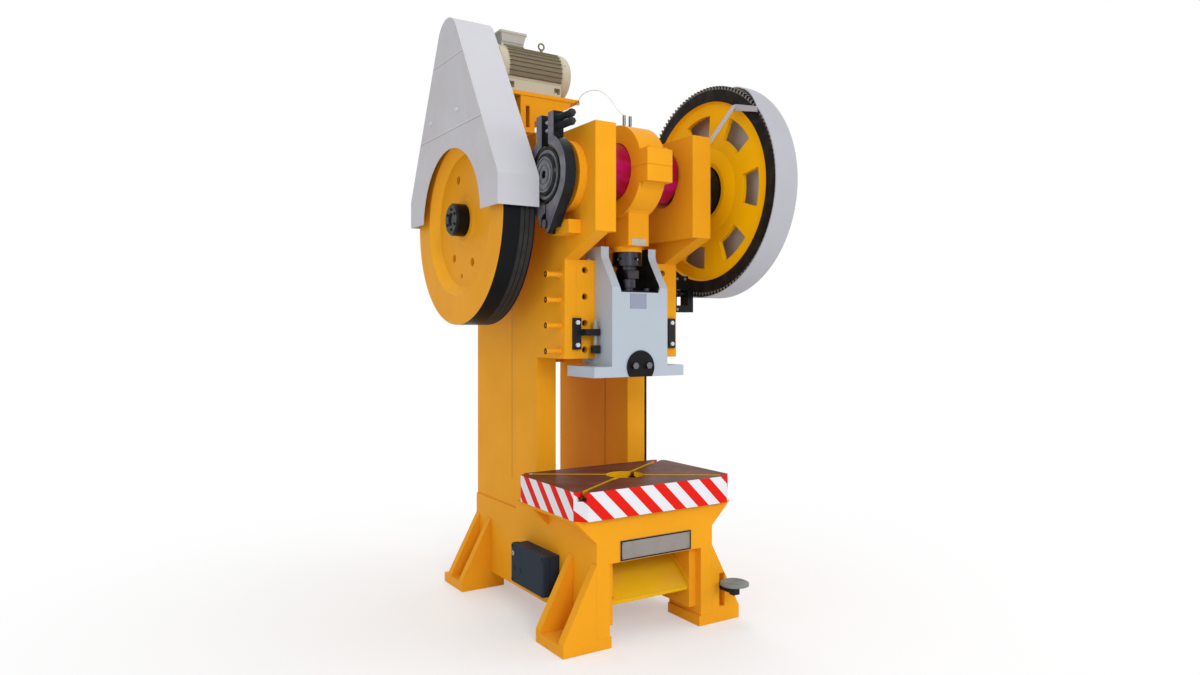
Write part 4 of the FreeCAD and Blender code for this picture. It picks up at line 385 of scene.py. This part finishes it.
# ------------------------------------------------------------------ colour fields on the solids, in metres
def bolster_field(g, colour):
    """Worn brown top, red and white warning bands on the edges, yellow hole and slots, painted shade in the
    slots.
    """
    painted_r = 0.110
    slot_shade_start, slot_shade_end = 0.38, 0.46
    side_share, corner_share = (0.985, 0.990), (1.72, 1.74)
    x, y, z = g.place()
    nx, _, nz = g.facing()
    across = g.minus(y, BOLSTER_Y)
    fall = g.minus(z, BOLSTER_TOP)

    def stripes(along, slope, start, period, share):
        place = g.plus(along, g.times(fall, slope), 10 * period - start)
        return g.less(g.math("FRACT", g.ratio(place, period)), share)

    front = stripes(x, slope=1.02, start=-0.3223, period=0.1373, share=0.48)
    side = stripes(g.times(y, -1.0), slope=0.95, start=0.3188, period=0.132, share=0.43)
    stripe = g.mix(g.more(g.size(nx), 0.8), front, side)
    edge_paint = g.mix(stripe, STRIPE_WHITE, STRIPE_RED)

    reach_x = g.ratio(g.size(x), BOLSTER_HALF_X)
    reach_y = g.ratio(g.size(across), BOLSTER_HALF_Y)
    at_side = g.step(g.either(reach_x, reach_y), *side_share)
    at_corner = g.step(g.plus(reach_x, reach_y), *corner_share)
    outside = g.either(at_side, at_corner)

    from_hole = g.length(x, across)
    in_hole = g.less(from_hole, painted_r)
    below_edge = g.less(z, BOLSTER_TOP - 0.007)
    # Painted shade: slot walls below the top edge darken, more near the centre hole than near the corners.
    depth = g.step(from_hole, slot_shade_start, slot_shade_end, 0.75, 0.15)
    slot_wall = g.mix(g.times(below_edge, depth), YELLOW, SLOT_SHADE)
    wall = g.mix(outside, g.mix(in_hole, slot_wall, YELLOW), edge_paint)

    scuffs = g.patches(7.0, 6.0, 0.45, 0.75)
    worn = g.mix(g.times(scuffs, 0.35), colour, BOLSTER_SCUFF)
    sunk = g.minus(1.0, g.step(z, BOLSTER_TOP - 0.004, BOLSTER_TOP - 0.001))
    # Painted shade: sunk level faces of the slots take a dark brown; inside the hole they stay yellow.
    level = g.mix(sunk, worn, g.mix(in_hole, SLOT_FLOOR_SHADE, YELLOW))
    return g.mix(g.step(nz, 0.5, 0.6), wall, level)


def plate_field(g, colour):
    """Weld seams up the flat sides of the frame's plates, outside and inside, with painted shade of a step.
    """
    outer_front, outer_back = 0.176, 0.192
    outer_near, outer_far = 0.320, 0.336
    inner_front, inner_back, inner_far = 0.108, 0.124, 0.230
    seam_bottom = 0.650
    x, y, z = g.place()
    side = g.more(g.size(g.facing()[0]), 0.9)
    reach = g.size(x)
    outer = g.times(g.band(y, outer_front, outer_back, 0.006), g.band(reach, outer_near, outer_far))
    inner = g.times(g.band(y, inner_front, inner_back, 0.006), g.less(reach, inner_far))
    # The seam band is partly the seam's own colour and partly painted shade of a step, darker on the inner
    # sides.
    seam = g.times(g.either(g.times(outer, 0.55), inner), side, g.past(z, seam_bottom, 0.010))
    return g.mix(g.times(seam, 0.42), colour, SEAM_SHADE_BROWN)


def shoe_field(g, colour):
    """Grey flat sides as painted reflection, and near-black rims, on the brake's castings."""
    # Painted reflection, in patches between two greys, on the faces that look along X.
    worn = g.patches(11.0, 5.0, 0.35, 0.75)
    return g.mix(g.flank(), colour, g.mix(worn, *SHOE_REFLECTION_GREY))


def drum_field(g, colour):
    """Turned drum: grey faces, and painted shade in the grooves, the centre hole and past the edge."""
    centre_r, groove_inner, groove_outer, edge_r = 0.019, 0.083, 0.098, 0.115
    r = g.radius(CRANK)
    groove = g.band(r, groove_inner, groove_outer, 0.001)
    # Painted shade: grooves, centre hole and the part past the edge go near-black.
    dark = g.either(groove, g.past(r, edge_r, 0.001), g.less(r, centre_r))
    worn = g.patches(16.0, 4.0, 0.35, 0.75)
    return g.mix(g.flank(), colour, g.mix(dark, g.mix(worn, *DRUM_GREY), DRUM_GROOVE_SHADE))


def gear_field(g, colour):
    """Web and hub orange in a black, oiled toothed rim; painted highlight on teeth, painted shade in hub
    mouth.
    """
    rim_r, tooth_r, tip_r = 0.468, 0.530, 0.547
    mouth_r, mouth_x = 0.1383, 0.514
    r = g.radius(CRANK)
    oil = g.patches(18.0, 5.0, 0.4, 0.7)
    oiled = g.mix(g.times(oil, 0.5), TOOTH_BLACK, TOOTH_OIL)
    tooth_side = g.times(g.past(r, tooth_r, 0.001), g.flank(0.8, 0.95))
    # Painted highlight on the teeth's sides and on their tips.
    rubbed = g.times(g.either(tooth_side, g.past(r, tip_r)), 0.6)
    rim = g.mix(rubbed, oiled, TOOTH_HIGHLIGHT)
    # Painted shade in the mouth of the hub.
    mouth = g.times(g.less(r, mouth_r), g.less(g.place()[0], mouth_x))
    return g.mix(mouth, g.mix(g.past(r, rim_r), colour, rim), HUB_MOUTH_SHADE)


def wheel_field(g, colour):
    """Orange faces, painted light on the cone between web and rim, black rim and belt grooves."""
    rim_r, face_x = 0.47, -0.6446
    cone_inner, cone_outer = 0.20, 0.46
    r = g.radius(WHEEL)
    rim = g.times(g.more(r, rim_r), g.more(g.place()[0], face_x))
    slanting = g.band(g.facing()[0], -0.90, -0.12, 0.04)
    # Painted light: the sloping faces of the cone take a lighter orange.
    cone = g.times(slanting, g.band(r, cone_inner, cone_outer, 0.01), 0.8)
    return g.mix(rim, g.mix(cone, colour, CONE_PAINTED_LIGHT), WHEEL_RIM)


def crank_field(g, colour):
    """Red lacquer on the eccentric with painted magenta highlights, ground steel on the journals and ends.
    """
    eccentric_end = 0.216
    highlight_patches = g.step(g.noise(8.0, 2.0, (0.4, 1.0, 1.0)), 0.42, 0.62)
    lacquer = g.mix(g.times(highlight_patches, 0.5), colour, CRIMSON_HIGHLIGHT)
    return g.mix(g.past(g.size(g.place()[0]), eccentric_end), lacquer, JOURNAL_STEEL)


def shaft_field(g, colour):
    """Bright shaft with a dark, oiled pinion."""
    pinion_start = 0.489
    return g.mix(g.past(g.place()[0], pinion_start), colour, PINION_STEEL)


def slide_field(g, colour):
    """Pale casting, a black pocket of grease and painted shade, and a fine line of painted shade on the
    front.
    """
    pocket_half, pocket_floor = 0.1184, 1.449
    pocket_front, pocket_back = -0.542, -0.328
    step_line_low, step_line_high = 1.4652, 1.4664
    x, y, z = g.place()
    ny = g.facing()[1]
    within = g.times(g.less(g.size(x), pocket_half), g.band(y, pocket_front, pocket_back))
    # The pocket's black is partly grease and partly painted shade.
    pocket = g.times(within, g.more(z, pocket_floor), g.more(ny, -0.7))
    greased = g.patches(30.0, 4.0, 0.4, 0.7)
    dark = g.mix(g.times(greased, 0.5), POCKET_BLACK, POCKET_GREASE)
    # Painted shade: a fine darker line across the front faces, for a shallow step.
    joint = g.times(g.band(z, step_line_low, step_line_high), g.less(ny, -0.9), 0.10)
    return g.mix(pocket, g.mix(joint, colour, PALE_STEP_SHADE), dark)


def belt_guard_tint(g, colour):
    """Outer side in painted shade and smudges; lap joints between its panels, each lip a painted highlight.
    """
    outer_x = -0.68
    laps = ((2.8385, 2.8425), (2.4690, 2.4735))
    lips = ((2.8440, 2.8480), (2.4750, 2.4800))
    x, _, z = g.place()
    flat = g.times(g.less(g.facing()[0], -0.9), g.less(x, outer_x))
    smudge = g.patches(5.0, 3.0, 0.4, 0.7)
    lap, lip = (g.either(*(g.band(z, *edges, 0.0012) for edges in pair)) for pair in (laps, lips))
    # Painted shade over the whole outer side, deeper where the smudges are.
    tint = g.mix(g.times(flat, g.plus(0.25, g.times(smudge, 0.3))), colour, GUARD_SMUDGE_AND_SHADE)
    tint = g.mix(g.times(lap, flat, 0.62), tint, GUARD_LAP)
    # Painted highlight: a pale band along the lip above each lap joint.
    return g.mix(g.times(lip, flat, 0.30), tint, GUARD_LIP_HIGHLIGHT)


def weld_spots(g):
    """Share of the ring marks that spot welds leave round the gear guard's outer face."""
    spots, ring_r, face_x = 24, 0.543, 0.609
    mark_inner, mark_outer = 0.003, 0.006
    x, y, z = g.place()
    pitch = 2 * math.pi / spots
    angle = g.math("ARCTAN2", g.minus(z, CRANK.z), g.minus(y, CRANK.y))
    along = g.times(g.minus(g.math("FRACT", g.ratio(angle, pitch)), 0.5), ring_r * pitch)
    off = g.minus(g.radius(CRANK), ring_r)
    mark = g.band(g.length(along, off), mark_inner, mark_outer, 0.0012)
    return g.times(mark, g.more(x, face_x), 0.35)


def guard_field(g, colour):
    """Pale sheet: belt guard on the left, gear pan with spot-weld marks on the right, its back sheet in
    painted light.
    """
    pan_start, back_sheet = 0.3, 0.55
    x = g.place()[0]
    # Painted light: the back sheet that faces the gear takes a lighter grey.
    inside = g.times(g.less(g.facing()[0], -0.9), g.more(x, back_sheet))
    pan = g.mix(inside, PAN_BAND, PAN_INSIDE_LIT)
    tint = g.mix(g.more(x, pan_start), belt_guard_tint(g, colour), pan)
    return g.mix(weld_spots(g), tint, GUARD_WELD)


def motor_field(g, colour):
    """Painted shade on the ribs between the end shield and the cowl."""
    ribs_left, ribs_right, foot_top = -0.402, -0.0895, 2.7795
    x, _, z = g.place()
    ribs = g.times(g.band(x, ribs_left, ribs_right), g.more(z, foot_top))
    return g.mix(ribs, colour, MOTOR_RIBS_SHADE)


def adjuster_field(g, colour):
    """Orange paint with dark end faces."""
    screw_end = -0.404
    end = g.times(g.less(g.facing()[0], -0.7), g.less(g.place()[0], screw_end))
    return g.mix(end, colour, DARK_END)


def stud_field(g, colour):
    """Black nuts and ends on studs that are bright between the brake's ears."""
    bright_half = 0.040
    bright = g.band(g.place()[1], CRANK.y - bright_half, CRANK.y + bright_half)
    return g.mix(bright, colour, STUD_STEEL)


def stop_field(g, colour):
    """Bright screw and nut over a black foot."""
    foot_top = 1.3745
    return g.mix(g.more(g.place()[2], foot_top), colour, STOP_STEEL)


# ------------------------------------------------------------------ materials
frame_paint = painted("frame_paint", ORANGE)
plate_paint = painted("plate_paint", ORANGE, region=plate_field)
terminal_paint = painted("terminal_paint", TERMINAL_GREY, rough=0.40, peel=0.0005, edge=0.0012)
bolt_paint = painted("bolt_paint", BOLT_GREY, rough=0.30, peel=0.0001, edge=0.0006, gloss=0.3)
gear_paint = painted("gear_paint", GEAR_ORANGE_LIGHTENED, region=gear_field, gloss=0.06)
wheel_paint = painted("wheel_paint", ORANGE, region=wheel_field, rough=0.32)
adjuster_paint = painted("adjuster_paint", ORANGE, region=adjuster_field)
chute_paint = painted("chute_paint", YELLOW, rough=0.38)
slide_paint = painted("slide_paint", PALE, region=slide_field, edge=0.004, grime=0.05)
guard_paint = painted("guard_paint", GUARD, region=guard_field, rough=0.40, peel=0.00015, edge=0.0012,
                      grime=0.05)
motor_paint = painted("motor_paint", MOTOR_TAN, region=motor_field, rough=0.40, peel=0.0005, edge=0.0012)
bolster_paint = painted("bolster_paint", BOLSTER_BROWN, region=bolster_field, rough=0.38, grime=0.04)
control_paint = painted("control_paint", SLATE, rough=0.42, peel=0.0007)
dish_paint = painted("dish_paint", DISH_GREY, rough=0.42, peel=0.0006, edge=0.002, gloss=0.15)
crank_lacquer = painted("crank_lacquer", CRIMSON, region=crank_field, rough=0.24, grime=0.05, gloss=1.0,
                        sheen=(1.0, 0.16, 0.62, 1.0))
lilac_paint = painted("lilac_paint", LILAC, rough=0.36, grime=0.06, edge=0.0004)
black_steel = blacked("black_steel")
shoe_paint = blacked("shoe_paint", BRAKE_BLACK, region=shoe_field, rough=0.24, gloss=0.14, worn=0.05)
drum_paint = blacked("drum_paint", BRAKE_BLACK, region=drum_field, rough=0.22, gloss=0.14, worn=0.05)
oiled_steel = blacked("oiled_steel", OILED_BLACK, rough=0.26, gloss=0.14, worn=0.12)
stud_steel = blacked("stud_steel", region=stud_field, rough=0.28, gloss=0.4)
stop_steel = blacked("stop_steel", region=stop_field, rough=0.28, gloss=0.4)
bright_steel = metal("bright_steel", STEEL)
cup_steel = metal("cup_steel", CUP_STEEL, rough=0.30)
dark_steel = metal("dark_steel", DARK_STEEL, rough=0.28)
shaft_steel = metal("shaft_steel", STEEL, stretch=(0.2, 1.0, 1.0), region=shaft_field)
bronze = metal("bronze", BRONZE, rough=0.38)
brass = metal("brass", BRASS, rough=0.30)
tag_metal = metal("tag_metal", TAG_METAL, rough=0.42, metallic=0.35)
plate_metal = metal("plate_metal", PLATE_METAL, rough=0.40, stretch=(0.02, 1.0, 1.0), metallic=0.6)
lining = moulded("lining", LINING, 0.8)
belt_rubber = moulded("belt_rubber", RUBBER, 0.7)
hose_plastic = moulded("hose_plastic", CLEAR_HOSE, 0.30, cover=0.45)

FINISHES = (
    (frame_paint, "front_panel bed_plate frame_ties feet gibs motor_bracket"),
    (frame_paint, "pitman_body pitman_cap pitman_bolts"),
    (plate_paint, "side_plate_left side_plate_right"),
    (adjuster_paint, "gib_adjusters"),
    (gear_paint, "bull_gear"),
    (wheel_paint, "flywheel"),
    (chute_paint, "scrap_chute"),
    (slide_paint, "slide_body"),
    (guard_paint, "gear_guard belt_guard"),
    (motor_paint, "motor_body fan_cowl"),
    (terminal_paint, "terminal_box"),
    (bolster_paint, "bolster_plate"),
    (control_paint, "control_box"),
    (dish_paint, "pedal_dish"),
    (crank_lacquer, "crankshaft"),
    (shoe_paint, "brake_shoe_front brake_shoe_rear brake_pin"),
    (drum_paint, "brake_drum"),
    (oiled_steel, "shank_clamp clutch_disc flywheel_cap trip_bracket"),
    (dark_steel, "screw_nut adjusting_screw"),
    (black_steel, "gib_screws knockout_brackets ball_retainer ball_seat brake_springs motor_pulley"),
    (black_steel, "pedal_lever linkage_pivots pull_rod trip_rocker"),
    (stop_steel, "knockout_stop"),
    (stud_steel, "brake_studs"),
    (bolt_paint, "frame_bolts"),
    (bright_steel, "motor_rotor trip_plunger"),
    (cup_steel, "oil_cups slide_screws"),
    (shaft_steel, "countershaft"),
    (bronze, "pitman_bush shaft_bushes"),
    (brass, "oil_fitting"),
    (plate_metal, "name_plate"),
    (lining, "brake_linings"),
    (belt_rubber, "drive_belts"),
    (hose_plastic, "oil_hose"),
)
for finish, names in FINISHES:
    for name in names.split():
        mesh = nodes[name].data
        mesh.materials.clear()
        mesh.materials.append(finish)


# ------------------------------------------------------------------ shapes of the small fittings
def piece(name, build, finish, body):
    """Mesh object from a function that fills a bmesh, riding on a body."""
    bm = bmesh.new()
    build(bm)
    bmesh.ops.recalc_face_normals(bm, faces=bm.faces)
    mesh = bpy.data.meshes.new(name)
    bm.to_mesh(mesh)
    bm.free()
    made = bpy.data.objects.new(name, mesh)
    bpy.context.scene.collection.objects.link(made)
    mesh.materials.append(finish)
    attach(made, body)


def bridge(bm, rings):
    """Side faces from each closed ring of points to the next."""
    for a, b in zip(rings, rings[1:]):
        for k in range(len(a)):
            after = (k + 1) % len(a)
            bm.faces.new((a[k], a[after], b[after], b[k]))


def close(bm, rings):
    """Side faces between the rings and a flat face on the first and the last."""
    bridge(bm, rings)
    bm.faces.new(rings[-1])
    bm.faces.new(list(reversed(rings[0])))


def slab(bm, low, high):
    """Thin plate between two corners with broken edges."""
    verts = bmesh.ops.create_cube(bm, size=1.0)["verts"]
    for vert in verts:
        share = vert.co + Vector((0.5, 0.5, 0.5))
        vert.co = Vector([low[i] + share[i] * (high[i] - low[i]) for i in range(3)])
    edges = list({edge for vert in verts for edge in vert.link_edges})
    bmesh.ops.bevel(bm, geom=edges, offset=0.0004, segments=2, affect="EDGES")


# rings of a screw head from the seat upwards: share of the radius, share of the height, hexagonal or round
HEAD_RIM = ((1.0, 0.62, False), (0.88, 0.9, False))
SOCKET_HEAD = HEAD_RIM + ((0.56, 1.0, True), (0.54, 0.3, True))
DOMED_HEAD = HEAD_RIM + ((0.5, 1.0, False),)
HEAD_SUNK = 0.0004
HEAD_SIDES = 24


def head(bm, seat, axis, radius, height, profile):
    """Turned screw head on a seat, pointing along an axis."""
    turn = Vector(axis).to_track_quat("Z", "Y").to_matrix()

    def ring(reach, rise, hexagonal):
        made = []
        for k in range(HEAD_SIDES):
            angle = 2 * math.pi * k / HEAD_SIDES
            r = reach
            if hexagonal:
                r *= math.cos(math.pi / 6) / math.cos(angle % (math.pi / 3) - math.pi / 6)
            corner = Vector((r * math.cos(angle), r * math.sin(angle), rise))
            made.append(bm.verts.new(seat + turn @ corner))
        return made

    rings = [ring(radius, -HEAD_SUNK, False)]
    rings += [ring(share * radius, rise * height, hexagonal) for share, rise, hexagonal in profile]
    close(bm, rings)


def heads(name, seats, axis, radius, height, finish, body="frame", profile=SOCKET_HEAD):
    """One piece with a screw head on each seat."""
    def build(bm):
        for seat in seats:
            head(bm, Vector(seat), axis, radius, height, profile)
    piece(name, build, finish, body)


def hexagon(bm, seat, across_flats, height):
    """Hexagon nut round an upright screw, two flats facing front and back."""
    chamfer = 0.003
    rings = []
    for share, rise in ((0.94, 0.0), (1.0, chamfer), (1.0, height - chamfer), (0.94, height)):
        reach = share * across_flats / math.sqrt(3)
        angles = [k * math.pi / 3 for k in range(6)]
        corners = [(reach * math.cos(a), reach * math.sin(a), rise) for a in angles]
        rings.append([bm.verts.new(seat + Vector(corner)) for corner in corners])
    close(bm, rings)


def ring_rib(bm, centre, radius, width, height):
    """Low round rib on a level face."""
    sides, sunk = 72, 0.0006
    profile = ((-width / 2, -sunk), (-width / 3, height), (width / 3, height), (width / 2, -sunk))
    loops = []
    for k in range(sides):
        angle = 2 * math.pi * k / sides
        outward = Vector((math.cos(angle), math.sin(angle), 0))
        loops.append([
            bm.verts.new(centre + (radius + across) * outward + rise * UP) for across, rise in profile
        ])
    bridge(bm, loops + loops[:1])


def inset(low, high, distance):
    """The two values a distance inside a pair of limits."""
    return low + distance, high - distance


def on_ring(centre, radius, angle):
    """Point at an angle on a circle about an axis along X."""
    return Vector((centre[0], centre[1] + radius * math.cos(angle), centre[2] + radius * math.sin(angle)))


# ------------------------------------------------------------------ small fittings on the press
def front_plate_fittings():
    """Raised border, mitred at the corners, and four rivets on the bare front plate."""
    low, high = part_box("name_plate")

    def outline(bm, distance, y):
        left, right = inset(low.x, high.x, distance)
        bottom, top = inset(low.z, high.z, distance)
        corners = ((left, bottom), (right, bottom), (right, top), (left, top))
        return [bm.verts.new((x, y, z)) for x, z in corners]

    def border(bm):
        outer, inner = 0.0015, 0.0070
        back, front = low.y + 0.0005, low.y - 0.0014
        profile = ((outer, back), (outer, front), (inner, front), (inner, back))
        loops = [outline(bm, distance, y) for distance, y in profile]
        bridge(bm, loops + loops[:1])

    piece("plate_border", border, oiled_steel, "frame")
    from_edge = 0.015
    rivets = [
        (x, low.y, z) for x in inset(low.x, high.x, from_edge) for z in inset(low.z, high.z, from_edge)
    ]
    heads("plate_rivets", rivets, FRONT, 0.0042, 0.0022, plate_metal, profile=DOMED_HEAD)


def slide_plate():
    """Blank plate with four rivets on the slide's front."""
    left, right, bottom, top = -0.061, 0.036, 1.552, 1.625
    proud, sunk, from_edge = 0.0012, 0.0002, 0.004
    slide_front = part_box("slide_body")[0].y
    face = slide_front - proud
    low, high = (left, face, bottom), (right, slide_front + sunk, top)
    piece("slide_plate", lambda bm: slab(bm, low, high), lilac_paint, "slide")
    rivets = [(x, face, z) for x in inset(left, right, from_edge) for z in inset(bottom, top, from_edge)]
    heads("slide_plate_rivets", rivets, FRONT, 0.0022, 0.001, plate_metal, "slide", DOMED_HEAD)


def rod_fittings():
    """Blank plate on the connecting rod, hexagon of the adjusting screw and pins of its collar."""
    left, right, bottom, top = -0.039, 0.044, 1.861, 1.894
    proud, sunk = 0.0012, 0.0002
    rod_front = CRANK.y - 0.100
    low, high = (left, rod_front - proud, bottom), (right, rod_front + sunk, top)
    piece("shank_plate", lambda bm: slab(bm, low, high), tag_metal, "pitman")

    hexagon_seat = Vector((0, CRANK.y, 1.698))
    piece("screw_hexagon", lambda bm: hexagon(bm, hexagon_seat, 0.111, 0.046), dark_steel, "pitman")

    pin_z = 1.794
    for k, (x, y) in enumerate(((-0.0714, -0.0216), (0.0128, -0.0736))):
        seat = (x, CRANK.y + y, pin_z)
        heads(f"collar_pin_{k}", [seat], (x, y, 0), 0.0050, 0.0018, bright_steel, "pitman", DOMED_HEAD)


def control_box_fittings():
    """Cover screws, lock and two blank knobs on the control box's left face."""
    low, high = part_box("control_box")
    from_edge = 0.016
    corners = [
        (low.x, y, z) for y in inset(low.y, high.y, from_edge) for z in inset(low.z, high.z, from_edge)
    ]
    lock = (low.x, high.y - 0.031, high.z - 0.050)
    knobs = [(low.x, high.y - back, low.z + 0.076) for back in (0.033, 0.099)]
    heads("box_screws", corners, LEFT, 0.0065, 0.0035, oiled_steel)
    heads("box_lock", [lock], LEFT, 0.0125, 0.006, bright_steel)
    heads("box_knobs", knobs, LEFT, 0.0150, 0.0030, control_paint, profile=DOMED_HEAD)


def motor_fittings():
    """Screws of the terminal box's lid and of the fan cowl."""
    low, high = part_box("terminal_box")
    from_edge = 0.011
    corners = [
        (x, y, high.z) for x in inset(low.x, high.x, from_edge) for y in inset(low.y, high.y, from_edge)
    ]
    heads("lid_screws", corners, UP, 0.0055, 0.0040, bright_steel)

    low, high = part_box("fan_cowl")
    cowl_r = (high.y - low.y) / 2
    centre = (low.x + 0.014, low.y + cowl_r, low.z + cowl_r)
    for k, degrees in enumerate((20, 90, 160)):
        angle = math.radians(degrees)
        seat = on_ring(centre, cowl_r, angle)
        outward = (0, math.cos(angle), math.sin(angle))
        heads(f"cowl_screw_{k}", [seat], outward, 0.0048, 0.0028, bright_steel)


def gear_side_fittings():
    """Screw of the gear guard's strap and screws of the clutch trip's bracket."""
    strap_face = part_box("gear_guard")[0].x + 0.006
    strap_seat = (strap_face, CRANK.y - 0.212, CRANK.z + 0.177)
    heads("strap_screw", [strap_seat], RIGHT, 0.0085, 0.0060, bright_steel)

    low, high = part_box("trip_bracket")
    near, far = low.x + 0.013, low.x + 0.065
    bottom, top = inset(low.z, high.z, 0.015)
    seats = [(x, low.y, z) for x, z in ((near, top), (near, bottom), (far, top))]
    heads("bracket_screws", seats, FRONT, 0.0075, 0.0065, bright_steel)


def hub_cap_screws():
    """Six screws in the flywheel's cap."""
    count, ring_r, first = 6, 0.052, math.pi / 6
    centre = (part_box("flywheel_cap")[0].x, WHEEL.y, WHEEL.z)
    seats = [on_ring(centre, ring_r, first + 2 * math.pi * k / count) for k in range(count)]
    heads("hub_cap_screws", seats, LEFT, 0.0075, 0.0050, oiled_steel, "flywheel_shaft")


def dish_ribs():
    """Four round ribs on the pedal's hollow dish."""
    low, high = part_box("pedal_dish")
    dish_r, hollow, middle_rise = 0.0625, 0.006, 0.014
    x, y = (low.x + high.x) / 2, (low.y + high.y) / 2

    def ribs(bm):
        for radius in (0.014, 0.027, 0.040, 0.053):
            z = low.z + middle_rise + hollow * radius / dish_r
            ring_rib(bm, Vector((x, y, z)), radius, width=0.006, height=0.0016)
    piece("dish_ribs", ribs, dish_paint, "pedal")


# ------------------------------------------------------------------ oil hose
HOSE_POINTS = (
    (0.0020, 0.0385, 2.6975),
    (0.0030, 0.0245, 2.7110),
    (0.0040, 0.0035, 2.7210),
    (0.0040, -0.0325, 2.7263),
    (0.0035, -0.0825, 2.7240),
    (0.0020, -0.1345, 2.7135),
    (0.0000, -0.1865, 2.6955),
    (-0.0030, -0.2355, 2.6700),
    (-0.0060, -0.2795, 2.6400),
    (-0.0095, -0.3185, 2.6060),
    (-0.0125, -0.3540, 2.5705),
    (-0.0160, -0.3905, 2.5365),
    (-0.0180, -0.4335, 2.5152),
)
HOSE_DIAMETER = 0.006


def oil_hose():
    """Thin clear oil line from the fitting on the motor bracket to the cup on the pitman."""
    curve = bpy.data.curves.new("oil_line", "CURVE")
    curve.dimensions = "3D"
    curve.bevel_depth = HOSE_DIAMETER / 2
    curve.bevel_resolution = 4
    curve.use_fill_caps = True
    spline = curve.splines.new("NURBS")
    spline.points.add(len(HOSE_POINTS) - 1)
    for point, place in zip(spline.points, HOSE_POINTS):
        point.co = (*place, 1.0)
    spline.order_u = 3
    spline.use_endpoint_u = True
    spline.resolution_u = 8
    made = bpy.data.objects.new("oil_line", curve)
    bpy.context.scene.collection.objects.link(made)
    curve.materials.append(hose_plastic)
    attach(made, "frame")
    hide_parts("oil_hose")


# ------------------------------------------------------------------ camera, light and floor
def camera():
    """Level camera in front of the press and to its left, turned towards it."""
    lens = bpy.data.cameras.new("camera")
    lens.lens = 25.2
    lens.sensor_width = 36.0
    lens.shift_y = -0.0079
    lens.clip_start = 0.05
    lens.clip_end = 60.0
    made = bpy.data.objects.new("camera", lens)
    bpy.context.scene.collection.objects.link(made)
    made.location = (-2.3525, -3.890, 1.458)
    made.rotation_euler = (math.radians(90.0), 0.0, math.radians(-32.4))
    bpy.context.scene.camera = made


WHITE = (1.0, 1.0, 1.0)
# name, place, point it shines at, width, watts, colour
LAMPS = (
    ("key", (-1.5, -7.2, 4.2), (0.0, 0.0, 1.4), 2.6, 142.0, (1.0, 0.99, 0.97)),
    ("fill", (5.4, -3.6, 3.0), (0.0, 0.0, 1.4), 3.6, 80.0, (0.97, 0.98, 1.0)),
    ("side", (-5.6, -3.0, 3.0), (0.0, 0.0, 1.6), 3.0, 11.0, (0.98, 0.99, 1.0)),
    ("top", (0.0, -0.4, 7.4), (0.0, 0.0, 1.0), 4.0, 60.0, WHITE),
    ("back", (1.5, 5.8, 4.0), (0.0, 0.2, 1.6), 3.5, 90.0, WHITE),
)
BACKDROP_STRENGTH = 1.0
GLOW_STRENGTH = 0.70


def area_light(name, place, aim, width, watts, colour):
    data = bpy.data.lights.new(name, "AREA")
    data.shape = "DISK"
    data.size = width
    data.energy = watts
    data.color = colour
    made = bpy.data.objects.new(name, data)
    bpy.context.scene.collection.objects.link(made)
    made.location = place
    made.rotation_euler = (Vector(aim) - Vector(place)).to_track_quat("-Z", "Y").to_euler()


def shown(g):
    """1 for rays that look at the studio: from the camera, in a reflection or through glass."""
    path = g.node("ShaderNodeLightPath").outputs
    return g.either(path["Is Camera Ray"], path["Is Glossy Ray"], path["Is Transmission Ray"])


def studio():
    """White backdrop, a softer white glow that lights the press, and the lamps."""
    for lamp in LAMPS:
        area_light(*lamp)
    g = Graph(bpy.data.worlds.new("studio"))
    backdrop = g.tree.nodes["Background"]
    glow = g.node("ShaderNodeBackground")
    for background, strength in ((backdrop, BACKDROP_STRENGTH), (glow, GLOW_STRENGTH)):
        background.inputs["Color"].default_value = (*WHITE, 1.0)
        background.inputs["Strength"].default_value = strength
    g.blend(shown(g), glow, backdrop, "World Output")
    bpy.context.scene.world = g.owner
    bpy.context.scene.view_settings.view_transform = "Standard"


def floor():
    """Pale floor that keeps the shadow near the press and fades into the white backdrop."""
    half, drop = 20.0, 0.001
    fade_start, fade_end, white_near, white_far = 0.9, 3.4, 0.35, 1.0
    pale, paler = (0.90, 0.90, 0.90, 1.0), (0.93, 0.93, 0.93, 1.0)
    g = Surface("floor")
    g.set(
        Base_Color=g.mix(g.noise(1.3, 3.0), pale, paler), Roughness=0.8,
        Normal=g.bump(g.noise(60.0, 3.0), 0.0003, 0.3), Specular_IOR_Level=0.2,
    )
    x, y, _ = g.place()
    fade = g.step(g.length(x, y), fade_start, fade_end, white_near, white_far)
    g.blend(g.times(fade, shown(g)), g.bsdf, g.node("ShaderNodeEmission"), "Material Output")
    mesh = bpy.data.meshes.new("floor")
    corners = [(-half, -half, -drop), (half, -half, -drop), (half, half, -drop), (-half, half, -drop)]
    mesh.from_pydata(corners, [], [(0, 1, 2, 3)])
    mesh.materials.append(g.owner)
    made = bpy.data.objects.new("floor", mesh)
    bpy.context.scene.collection.objects.link(made)


camera()
front_plate_fittings()
slide_plate()
rod_fittings()
control_box_fittings()
motor_fittings()
gear_side_fittings()
hub_cap_screws()
dish_ribs()
oil_hose()
studio()
floor()
